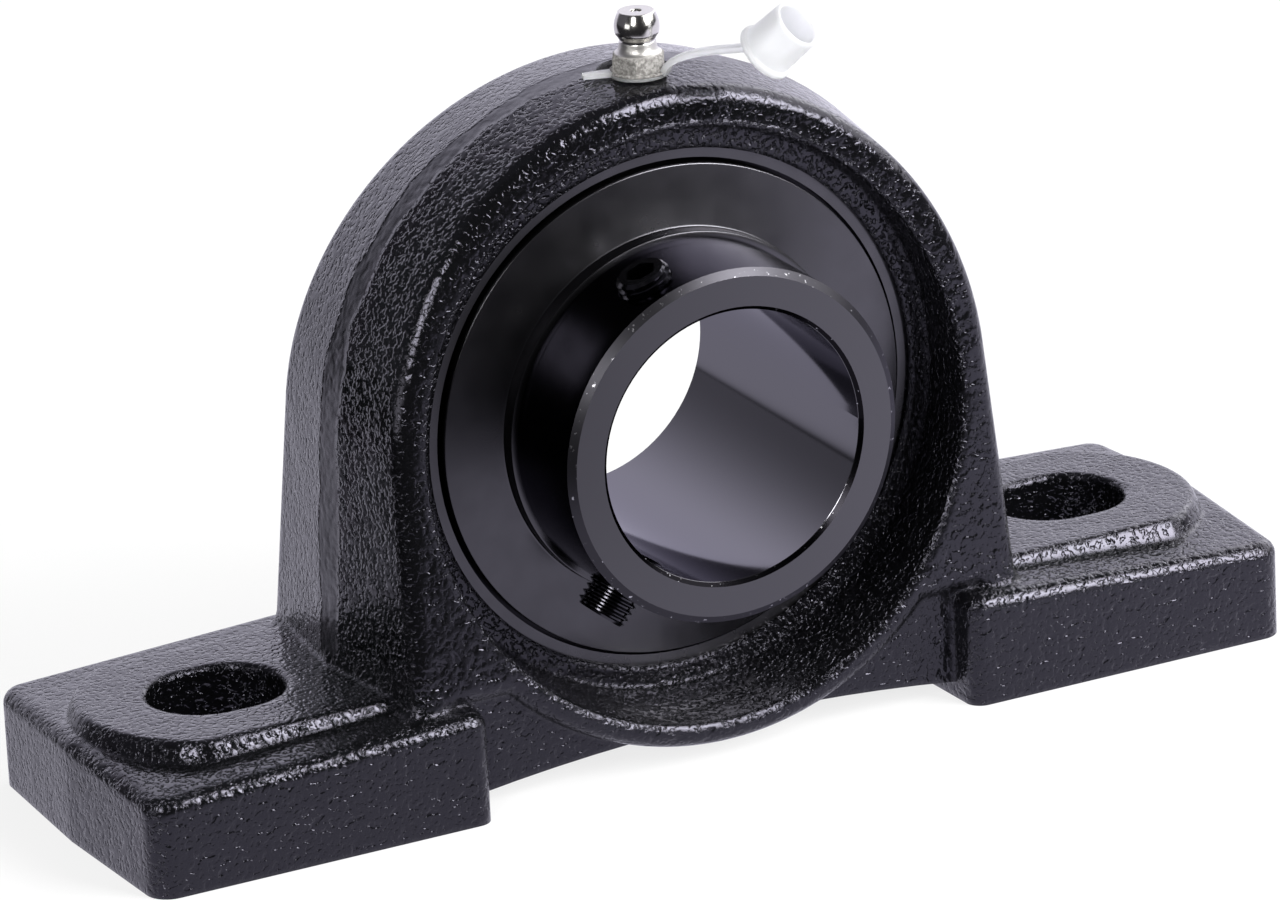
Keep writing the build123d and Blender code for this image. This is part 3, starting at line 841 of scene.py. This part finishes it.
def dress(names: Iterable[str], material: Material) -> None:
    """Gives carried-over nodes their finish.

    Args:
        names: CAD node names.
        material: The finish.
    """
    for name in names:
        mesh = NODES[name].data
        mesh.materials.clear()
        mesh.materials.append(material)
        LOG.info("dressed %s in %s", name, material.name)


# ---------------------------------------------------------------- pieces
@dataclass
class Casting:
    """The cast housing, painted all over."""

    paint: CastIronPaint = CastIronPaint()

    def build(self) -> None:
        """Dresses the housing."""
        dress(["housing"], self.paint.build())


@dataclass
class Insert:
    """Rings, flingers, seals, balls and cage of the bearing insert.

    Sizes in mm: radii from the shaft axis, and distances from the balls' plane.
    """

    balls: int = 9
    collar: float = 26.05
    collar_outside: float = 27.05
    collar_end: float = 14.05
    collar_round: float = 0.3
    disc_root: float = 11.75
    disc_rim: float = 11.6
    root_round: float = 0.35
    rim: float = 36.3
    rim_end: float = 10.2
    rim_round: float = 0.2
    sheet: float = 0.9
    # How far off its corner the middle of each rounding lies.
    collar_bend: float = 0.08
    root_bend: float = 0.1
    rim_bend: Span = (0.03, 0.08)

    def build(self) -> None:
        """Dresses the insert and builds its flingers."""
        outer = BlackedSteel(RingPart.OUTER, colour="#58575B", roughness=0.28)
        dress(["outer_ring"], outer.build())
        inner = BlackedSteel(RingPart.INNER, colour="#28272B", roughness=0.15, edge_tint="#CFCED4")
        dress(["inner_ring"], inner.build())
        pressed = BlackedSteel(RingPart.FLINGER, colour="#565559", roughness=0.24).build()
        disc = self.flinger("flinger_disc")
        for name, turn in (("flinger_front", 180.0), ("flinger_back", 0.0)):
            place = SHAFT_AXIS @ Matrix.Rotation(math.radians(turn), 4, "X")
            fit = Fit("shaft_ring", (name,), "sheet_steel")
            finished(copied(disc, f"{name}_disc"), place, fit, pressed, smooth=32)
        bpy.data.objects.remove(disc, do_unlink=True)
        # Rolled sheet blackened in a bath: dark satin that hardly catches the light.
        plate = PlainSteel("blackened_sheet_steel", colour="#242327", roughness=0.3)
        dress(["seal_plate_front", "seal_plate_back"], plate.build())
        # Rolled sheet left bare and oiled: mid grey with a soft, broad shine.
        bare = PlainSteel("pressed_sheet_steel", colour="#8A8A8C", roughness=0.35)
        dress(["cage_front", "cage_back", "cage_rivets"], bare.build())
        dress(["seal_lip_front", "seal_lip_back"], SealRubber().build())
        # Lapped chrome steel: a bright, nearly perfect mirror.
        lapped = PlainSteel("polished_ball_steel", colour="#D0D0D2", roughness=0.08)
        dress([f"ball_{i + 1}" for i in range(self.balls)], lapped.build())

    def flinger(self, name: str) -> Object:
        """Turns one pressed disc: collar, almost flat face and curled rim.

        A few points at each bend and edge round it off.

        Args:
            name: The piece's name.

        Returns:
            The disc, on the upper side of the origin with the shaft along Z.
        """
        out, end, root, rim = self.collar_outside, self.collar_end, self.disc_root, self.rim
        face, inside = self.disc_rim, rim - self.sheet
        little, more = self.rim_bend
        section = [
            (self.collar, end), (out - self.collar_round, end),
            (out - self.collar_bend, end - self.collar_bend), (out, end - self.collar_round),
            (out, root + self.root_round), (out + self.root_bend, root + self.root_bend),
            (out + self.root_round, root), (rim - self.rim_round, face),
            (rim - more, face - little), (rim - little, face - more),
            (rim, face - self.rim_round), (rim, self.rim_end), (inside, self.rim_end),
            (inside, face - self.sheet), (out, root - self.sheet),
            (self.collar, root - self.sheet), (self.collar, end),
        ]
        return turned(name, section, steps=160)


@dataclass
class SetScrews:
    """The two fine-threaded socket set screws that grip the shaft.

    Sizes in mm, with the inset along the shaft from the balls' plane. Each screw has
    its heading round the shaft in degrees, and how far its point stands off the bore.
    """

    radius: float = 3.9
    length: float = 7.5
    pitch: float = 1.0
    depth: float = 0.55
    # Where a tooth's flank rises, its crest starts and ends, and its other flank is
    # down again, as shares of the pitch.
    tooth: tuple[float, ...] = (0.08, 0.4, 0.54, 0.86)
    # Chamfers at the screw's two ends, and how far the blank clears the crests.
    point_chamfer: float = 0.8
    rim_chamfer: float = 0.6
    clear: float = 0.05
    socket: float = 4.0
    socket_depth: float = 3.6
    inset: float = -23.0
    bore: float = 20.0
    angles: tuple[tuple[str, float, float], ...] = (
        ("set_screw_top", 111.0, 0.4), ("set_screw_side", 231.0, 2.6))

    def build(self) -> None:
        """Builds both screws."""
        # Alloy steel after black oxide: near black, with crisp glints on the thread.
        steel = PlainSteel("black_oxide_screw_steel", colour="#3E3D42", roughness=0.16).build()
        screw = self.screw("set_screw_thread")
        for name, angle, lift in self.angles:
            heading = math.radians(angle)
            start = (self.bore + lift) * MM
            spot = Vector((math.cos(heading) * start, self.inset * MM,
                           SHAFT_HEIGHT + math.sin(heading) * start))
            place = Matrix.Translation(spot) @ Matrix.Rotation(math.radians(90) - heading, 4, "Y")
            fit = Fit(name.removeprefix("set_"), (name,), "screw_steel")
            finished(copied(screw, f"{name}_thread"), place, fit, steel, smooth=28)
        bpy.data.objects.remove(screw, do_unlink=True)

    def screw(self, name: str) -> Object:
        """Winds the thread, crosses it with the chamfered blank and cuts the socket.

        Args:
            name: The piece's name.

        Returns:
            The screw, its point at the origin and its socket up.
        """
        r, root, top, p = self.radius, self.radius - self.depth, self.length, self.pitch
        rise, crest, edge, foot = (-share * p for share in self.tooth)
        piece = outline(name, [(root, -p), (root, foot), (r, edge), (r, crest), (root, rise),
                               (root, 0)])
        bpy.ops.object.mode_set(mode="OBJECT")
        wound(piece, p, turns=math.ceil(top / p) + 2, steps=36)
        for height, way in ((-0.5 * p, -1), (top + 0.5 * p, 1)):
            edit(piece)
            bpy.ops.mesh.bisect(plane_co=(0, 0, height * MM), plane_no=(0, 0, way),
                                use_fill=True, clear_outer=True)
            close_up(piece)
        clear, point, rim = self.clear, self.point_chamfer, self.rim_chamfer
        # The last point but two lies on the chamfer's line: the crossing fails without it.
        blank = turned(f"{name}_blank", [
            (0, 0), (r - point, 0), (r + clear, point + clear), (r + clear, top - rim - clear),
            (r - rim + clear, top - clear), (r - rim, top), (0, top)], steps=48)
        combined(piece, blank, "INTERSECT")
        key = prism(f"{name}_key", self.socket, top - self.socket_depth, top + 1)
        combined(piece, key, "DIFFERENCE")
        edit(piece)
        bpy.ops.mesh.fill_holes(sides=0)
        close_up(piece)
        return piece


@dataclass
class GreaseNipple:
    """Conical head nipple: speckled hexagon, turned neck, polished head.

    Sizes in mm: radii from its own axis, and heights above its seat. The bar is the
    height of the hexagon before its top and corners are turned off.
    """

    seat: float = 0.45
    flange: float = 4.2
    flange_height: float = 0.42
    flats: float = 7.0
    flats_edge: float = 0.08
    bar: float = 4.2
    sunk: float = 0.1
    turn: float = -1.7
    # The cone that its corners are turned to: where it starts, how far outside the
    # corners, and then its radius and its height above that start.
    corner_height: float = 2.27
    clear: float = 0.02
    cone: tuple[Span, ...] = ((3.5, 0.5), (3.25, 0.66), (0.0, 0.66))
    neck: float = 2.62
    head: float = 3.24
    top: float = 2.6
    height: float = 8.9
    shank: float = 2.94
    shank_end: float = -5.9
    wire: float = 0.3
    coil: float = 0.95
    coil_turns: int = 5
    spring_foot: float = 1.8
    spring_length: float = 5.4
    spring_pitch: float = 1.0
    # Lengths at the coil's foot and top that don't flex.
    spring_stiff: Span = (0.3, 0.4)

    def build(self) -> None:
        """Builds the hexagon and the turned head as one plated body."""
        fit = Fit("block", ("nipple_body",), "plated_steel")
        place = NIPPLE_FLAT @ Matrix.Translation((0, 0, self.seat * MM))
        body = combined(self.turned_head("nipple_turned"), self.hexagon("nipple_hexagon"), "UNION")
        finished(body, place, fit, ZincPlate(seat=place.translation.z).build(), smooth=30)
        # Hardened steel, tumbled bright: a small sharp glint in the nipple's mouth.
        steel = PlainSteel("polished_nipple_steel", colour="#C8C7C4", roughness=0.15).build()
        dress(["nipple_ball"], steel)
        self.spring("nipple_spring_coil", steel)

    def spring(self, name: str, steel: Material) -> None:
        """Winds the coil under the ball.

        Args:
            name: The piece's name.
            steel: Its finish.
        """
        wire, low, high = self.wire / 2, self.spring_foot, self.spring_foot + self.spring_length
        piece = started(name, bpy.ops.mesh.primitive_circle_add, vertices=10, radius=wire * MM,
                        location=(self.coil * MM, 0, (low + wire) * MM),
                        rotation=(math.radians(90), 0, 0))
        wound(piece, self.spring_pitch, self.coil_turns, steps=24)
        edit(piece)
        bpy.ops.mesh.fill_holes(sides=0)
        close_up(piece)
        fit = Fit("", ("nipple_spring",), "plated_steel")
        finished(piece, NIPPLE_FLAT, fit, steel, smooth=60)
        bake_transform(piece)

    def hexagon(self, name: str) -> Object:
        """Crosses a hexagonal prism with the cone that chamfers its corners.

        Args:
            name: The piece's name.

        Returns:
            The hexagon.
        """
        corner = self.flats / 2 / math.cos(math.radians(30)) + self.clear
        low, high = self.flange_height - self.sunk, self.corner_height
        slope = [(radius, high + rise) for radius, rise in self.cone]
        cone = turned(f"{name}_cone", [(0, low), (corner, low), (corner, high), *slope])
        piece = prism(name, self.flats, 0, self.bar, self.turn)
        softened(piece, self.flats_edge, segments=2, angle=50)
        return combined(piece, cone, "INTERSECT")

    def turned_head(self, name: str) -> Object:
        """Turns shank, flange, flared neck, undercut and head round the ball's mouth.

        Args:
            name: The piece's name.

        Returns:
            All of the nipple that was turned, its seat at the origin.
        """
        neck, head, top, high, end = self.neck, self.head, self.top, self.height, self.shank_end
        flange, rise = self.flange, self.flange_height
        section = [
            (1.3, end), (2.4, end), (self.shank, end + 0.5), (self.shank, 0), (flange - 0.08, 0),
            (flange, 0.08), (flange, rise - 0.14), (flange - 0.14, rise), (3.3, rise + 0.02),
            (3.3, 2.85), (3.08, 3.0), (2.9, 3.2), (2.77, 3.48), (2.69, 3.85), (neck + 0.02, 4.3),
            (neck, 4.5), (neck - 0.07, 4.6), (neck - 0.07, 4.8), (neck, 4.9), (2.84, 5.3),
            (2.94, 5.44), (3.02, 5.52), (3.1, 5.62), (3.18, 5.9), (3.23, 6.35), (head, 6.75),
            (3.2, 7.15), (3.1, 7.6), (2.95, 8.05), (2.76, 8.5), (top + 0.06, 8.72), (top, 8.82),
            (top - 0.1, high), (0.85, high), (0.77, high - 0.08), (0.75, high - 0.5),
            (1.3, high - 1.0), (1.3, end),
        ]
        return turned(name, section)


@dataclass
class DustCap:
    """Moulded polyethylene ring, strap and cap that keep dirt off the nipple.

    Sizes in mm, angles in degrees. The strap's path gives distance from the nipple's
    axis, height and slope of each section, and flex where its bending starts and ends.
    """

    heading: float = -52.0
    tail_heading: float = 165.0
    hole: float = 3.0
    ring: float = 4.22
    ring_height: float = 0.45
    ring_edge: float = 0.13
    tail: float = 8.1
    tail_root: float = 3.22
    tail_middle: float = 0.5
    tail_thick: float = 0.72
    tail_widths: Span = (2.2, 1.3)
    strap_width: float = 2.0
    strap_thick: float = 1.0
    strap_edge: float = 0.22
    strap_path: tuple[tuple[float, float, float], ...] = (
        (3.95, 0.35, 70.0), (4.35, 1.4, 66.0), (5.2, 2.35, 34.0), (7.3, 3.35, 22.0),
        (9.3, 4.0, 16.0), (11.2, 4.42, 12.5), (13.1, 4.77, 9.5), (15.4, 5.13, 9.5),
        (17.5, 5.49, 9.5))
    flex: tuple[Span, Span] = ((4.2, 1.2), (7.6, 3.1))
    cap_centre: Span = (19.3, 4.6)
    cap_tilt: float = 42.0
    # The cup's section, from the middle of its closed end out, up and down inside.
    cup: tuple[Span, ...] = (
        (0, 0), (3.9, 0), (4.25, 0.08), (4.42, 0.3), (4.45, 0.55), (4.4, 0.85), (4.2, 1.05),
        (3.98, 1.12), (3.9, 1.3), (3.78, 6.9), (3.72, 7.25), (3.58, 7.45), (3.42, 7.5),
        (3.25, 7.45), (3.13, 7.3), (3.1, 7.0), (3.1, 1.9), (2.95, 1.55), (2.6, 1.35), (0, 1.3))

    def build(self) -> None:
        """Builds ring, strap and cap in the same milky plastic."""
        plastic = MilkyPolyethylene().build()
        out, tail = (NIPPLE_FLAT @ Matrix.Rotation(math.radians(heading), 4, "Z")
                     for heading in (self.heading, self.tail_heading))
        fit = Fit("block", ("cap_ring",), "polyethylene")
        finished(self.ring_and_tail("cap_ring_moulding"), tail, fit, plastic, smooth=50)
        self.hang_strap(out, plastic)
        x, z = self.cap_centre
        place = out @ Matrix.Translation((x * MM, 0, z * MM))
        place = place @ Matrix.Rotation(math.radians(90 - self.cap_tilt), 4, "Y")
        fit = Fit("cap", ("dust_cap",), "polyethylene")
        cup = turned("dust_cap_moulding", self.cup, steps=80)
        finished(cup, place, fit, plastic, smooth=50)

    def ring_and_tail(self, name: str) -> Object:
        """Makes the flat ring with its pull tab along X, all edges rounded.

        Args:
            name: The piece's name.

        Returns:
            The ring, about the origin.
        """
        hole, ring, high = self.hole, self.ring, self.ring_height
        piece = turned(name, [(hole, 0), (ring, 0), (ring, high), (hole, high), (hole, 0)],
                       steps=72)
        tab = started(f"{name}_tab", bpy.ops.mesh.primitive_cube_add, size=MM)
        edit(tab)
        wide, narrow = self.tail_widths
        bpy.ops.transform.resize(value=(self.tail - self.tail_root, wide, self.tail_thick))
        bpy.ops.transform.translate(value=((self.tail + self.tail_root) / 2 * MM, 0,
                                           self.tail_middle * MM))
        bpy.ops.mesh.select_all(action="DESELECT")
        bpy.ops.object.mode_set(mode="OBJECT")
        for vertex in tab.data.vertices:
            vertex.select = vertex.co.x > ring * MM
        bpy.ops.object.mode_set(mode="EDIT")
        bpy.ops.transform.resize(value=(1, narrow / wide, 1), center_override=(0, 0, 0))
        close_up(tab)
        combined(piece, tab, "UNION")
        return softened(piece, self.ring_edge, segments=3, angle=40)

    def hang_strap(self, out: Matrix, plastic: Material) -> None:
        """Extrudes the strap's section along its bends and softens it.

        Args:
            out: Frame whose X runs out along the strap.
            plastic: The finish.
        """
        strap = started("cap_strap_moulding", bpy.ops.mesh.primitive_plane_add, size=MM)
        edit(strap, "FACE")
        bpy.ops.transform.resize(value=(self.strap_thick, self.strap_width, 1))
        x, z, slope = self.strap_path[0]
        bpy.ops.transform.translate(value=(x * MM, 0, z * MM))
        self.tip(90 - slope, (x, z))
        for (x0, z0, s0), (x1, z1, s1) in zip(self.strap_path, self.strap_path[1:]):
            step = ((x1 - x0) * MM, 0, (z1 - z0) * MM)
            bpy.ops.mesh.extrude_region_move(TRANSFORM_OT_translate={"value": step})
            self.tip(s0 - s1, (x1, z1))
        close_up(strap)
        softened(strap, self.strap_edge, segments=2, angle=60)
        modified(strap, "SUBSURF", levels=2, render_levels=2)
        finished(strap, out, Fit("", ("cap_strap",), "polyethylene"), plastic, smooth=80)
        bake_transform(strap)

    def tip(self, degrees: float, at: Span) -> None:
        """Tips the selected section about the strap's width, at a point in mm."""
        bpy.ops.transform.rotate(value=-math.radians(degrees), orient_axis="Y",
                                 center_override=(at[0] * MM, 0, at[1] * MM))


# ---------------------------------------------------------------- studio
@dataclass(frozen=True)
class Lamp:
    """One softbox: where it hangs and how wide it looks from the object, and how bright.

    Angles in degrees, radiance in watts per square metre and steradian.
    """

    name: str
    heading: float
    height: float
    width: float
    tall: float
    radiance: float


@dataclass
class Studio:
    """Pale floor, soft lamps, world and camera."""

    # Camera: angles in degrees, and its focal length in pixels of the frame.
    heading: float = 26.4738
    dip: float = 20.1231
    roll: float = -2.7177
    distance: float = 1252.4275 * MM
    target: tuple[float, float, float] = (0.1109 * MM, 0.0, 39.5354 * MM)
    focal_px: float = 8725.5076
    frame_px: int = 1280
    sensor: float = 36.0
    clip: Span = (0.05, 30.0)
    lamp_distance: float = 1.5
    # Heading, height, width, tallness and radiance of each.
    lamps: tuple[Lamp, ...] = (
        Lamp("key_softbox", -53, 31, 26, 34, 18.0),
        Lamp("right_wall", 5, 33, 72, 40, 2.4),
        Lamp("left_softbox", -134, 27, 13, 20, 17.0),
        Lamp("left_strip", -166, 8, 24, 14, 2.4),
    )
    # World: brightness of its parts, and how near a direction each part begins and fills.
    backdrop: float = 1.52
    backdrop_way: tuple[float, float, float] = (0.45, 0.893, 0.0)
    backdrop_near: Span = (0.4, 0.86)
    walls: float = 0.14
    dark_room: float = 0.03
    dark_way: tuple[float, float, float] = (-0.42, -0.9, 0.12)
    dark_near: Span = (0.4, 0.7)
    fill: float = 0.38
    # Tint of what gloss and metal mirror.
    cool: tuple[float, float, float, float] = (0.88, 0.86, 1.0, 1.0)
    # Floor: its size and drop, and how much of it is washed to white for the camera.
    # Its mirror image is a painted glow: painted light to one side and round the object,
    # painted shade toward the camera, and it rises from one level to the other across the middle.
    floor_size: float = 12.0
    floor_drop: float = 0.05 * MM
    floor_wash: float = 0.8
    floor_colour: str = "#F2F2F2"
    floor_roughness: float = 0.9
    lit_way: tuple[float, float, float] = (0.86, 0.5, 0.0)
    lit_side: Span = (-0.11, 0.0)
    lit_round: Span = (0.17, 0.11)
    lit_back: Span = (-0.7, -0.42)
    lit_right: Span = (0.0, 0.12)
    lit_level: Span = (0.9, 1.25)

    def build(self) -> None:
        """Sets the studio up."""
        bpy.context.scene.view_settings.view_transform = "Standard"
        self.world()
        self.floor()
        for lamp in self.lamps:
            self.hang(lamp)
        self.camera()

    def world(self) -> None:
        """White backdrop behind the object and a dark room on the camera's side."""
        world = bpy.data.worlds.new("studio")
        bpy.context.scene.world = world
        world.use_nodes = True
        tree = world.node_tree
        tree.nodes.clear()
        way = add_node(tree, "TexCoord").outputs["Generated"]
        room = self.walls
        for direction, near, level in ((self.backdrop_way, self.backdrop_near, self.backdrop),
                                       (self.dark_way, self.dark_near, self.dark_room)):
            toward = add_node(tree, "VectorMath", (way, direction), operation="DOT_PRODUCT")
            part = add_node(tree, "MapRange", (toward, *near), **SOFT)
            room = add_node(tree, "Mix", (part, room, level))
        path = add_node(tree, "LightPath").outputs
        camera, mirror, through = (path[f"Is {kind} Ray"]
                                   for kind in ("Camera", "Glossy", "Transmission"))
        light = add_node(tree, "Mix", (mirror, self.fill, room))
        seen = add_node(tree, "Math", (camera, through), operation="MAXIMUM")
        strength = add_node(tree, "Mix", (seen, light, 1.0))
        colour = add_node(tree, "Mix", (mirror, WHITE, self.cool), data_type="RGBA")
        background = add_node(tree, "Background", (colour, strength))
        add_node(tree, "OutputWorld", [background])

    def floor(self) -> None:
        """Plain pale floor that keeps a soft shadow of the object."""
        floor = started("floor", bpy.ops.mesh.primitive_plane_add, size=self.floor_size,
                        location=(0, 0, -self.floor_drop))
        # Matt sheet: no shine of its own, so the camera sees only the object's soft shadow on it.
        # Shiny faces see a painted glow instead: painted light round the object, painted shade toward
        # the camera.
        material, tree, place = new_material("pale_floor")
        path = add_node(tree, "LightPath")
        paper = add_node(tree, "BsdfPrincipled", {
            "Base Color": srgb(self.floor_colour), "Roughness": self.floor_roughness,
            "Specular IOR Level": 0.0})
        glow = add_node(tree, "Emission", (WHITE, 1.0))
        seen = add_node(tree, "Math", (path.outputs["Is Camera Ray"], self.floor_wash), **TIMES)
        plain = add_node(tree, "MixShader", (seen, paper, glow))
        # Shiny faces see the floor as a painted glow: painted light round the object, painted shade
        # toward the camera.
        painted_floor_mirror = add_node(tree, "Emission", (self.cool, self.painted_floor_glow(tree, place)))
        mix = add_node(tree, "MixShader", (path.outputs["Is Glossy Ray"], plain, painted_floor_mirror))
        add_node(tree, "OutputMaterial", [mix])
        floor.data.materials.append(material)

    def painted_floor_glow(self, tree: Tree, place: Socket) -> Node:
        """Painted glow of the floor as shiny faces see it: painted light round the object, painted
        shade toward the camera.

        Args:
            tree: Node tree of the floor.
            place: Place on the floor.

        Returns:
            Brightness of the painted glow.
        """
        x, y = add_node(tree, "SeparateXYZ", [place]).outputs[:2]
        side = add_node(tree, "VectorMath", (place, self.lit_way), operation="DOT_PRODUCT")
        far = add_node(tree, "VectorMath", [place], operation="LENGTH")
        beside, near, back = (
            add_node(tree, "MapRange", (value, *span), **SOFT) for value, span in (
                (side, self.lit_side), (far, self.lit_round), (y, self.lit_back)))
        lit = add_node(tree, "Math", (beside, near), operation="MAXIMUM")
        level = add_node(tree, "MapRange", (x, *self.lit_right, *self.lit_level), **SOFT)
        for factor in (back, level):
            lit = add_node(tree, "Math", (lit, factor), **TIMES)
        return add_node(tree, "Math", (lit, self.dark_room), operation="ADD")

    def hang(self, lamp: Lamp) -> None:
        """Hangs one softbox that faces the object.

        Args:
            lamp: Its place, size and brightness.
        """
        heading, height = math.radians(lamp.heading), math.radians(lamp.height)
        way = Vector((math.cos(heading) * math.cos(height), math.sin(heading) * math.cos(height),
                      math.sin(height)))
        spot = Vector(self.target) + way * self.lamp_distance
        bpy.ops.object.light_add(type="AREA", location=spot)
        light = bpy.context.object
        light.name = lamp.name
        light.data.shape = "RECTANGLE"
        light.data.size, light.data.size_y = (
            2 * self.lamp_distance * math.tan(math.radians(angle / 2))
            for angle in (lamp.width, lamp.tall))
        light.data.energy = lamp.radiance * math.pi * light.data.size * light.data.size_y
        light.visible_camera = False
        light.rotation_mode = "QUATERNION"
        light.rotation_quaternion = (-way).to_track_quat("-Z", "Y")

    def camera(self) -> None:
        """Places the camera at the viewing angle."""
        az, el, roll = (math.radians(a) for a in (self.heading, self.dip, self.roll))
        ahead = Vector((math.sin(az) * math.cos(el), math.cos(az) * math.cos(el), -math.sin(el)))
        level = Vector((math.cos(az), -math.sin(az), 0))
        upright = level.cross(ahead)
        right = math.cos(roll) * level + math.sin(roll) * upright
        up = -math.sin(roll) * level + math.cos(roll) * upright
        bpy.ops.object.camera_add()
        camera = bpy.context.object
        camera.name = "camera"
        camera.data.sensor_width = self.sensor
        camera.data.lens = self.sensor * self.focal_px / self.frame_px
        camera.data.clip_start, camera.data.clip_end = self.clip
        turn = Matrix((right, up, -ahead)).transposed().to_4x4()
        spot = Vector(self.target) - ahead * self.distance
        camera.matrix_world = Matrix.Translation(spot) @ turn
        bpy.context.scene.camera = camera


def main() -> None:
    """Builds the looks in order."""
    logging.basicConfig(level=logging.INFO, format="%(name)s: %(message)s")
    for part in (Casting(), Insert(), SetScrews(), GreaseNipple(), DustCap()):
        part.build()
    Studio().build()


if __name__ == "__main__":
    main()
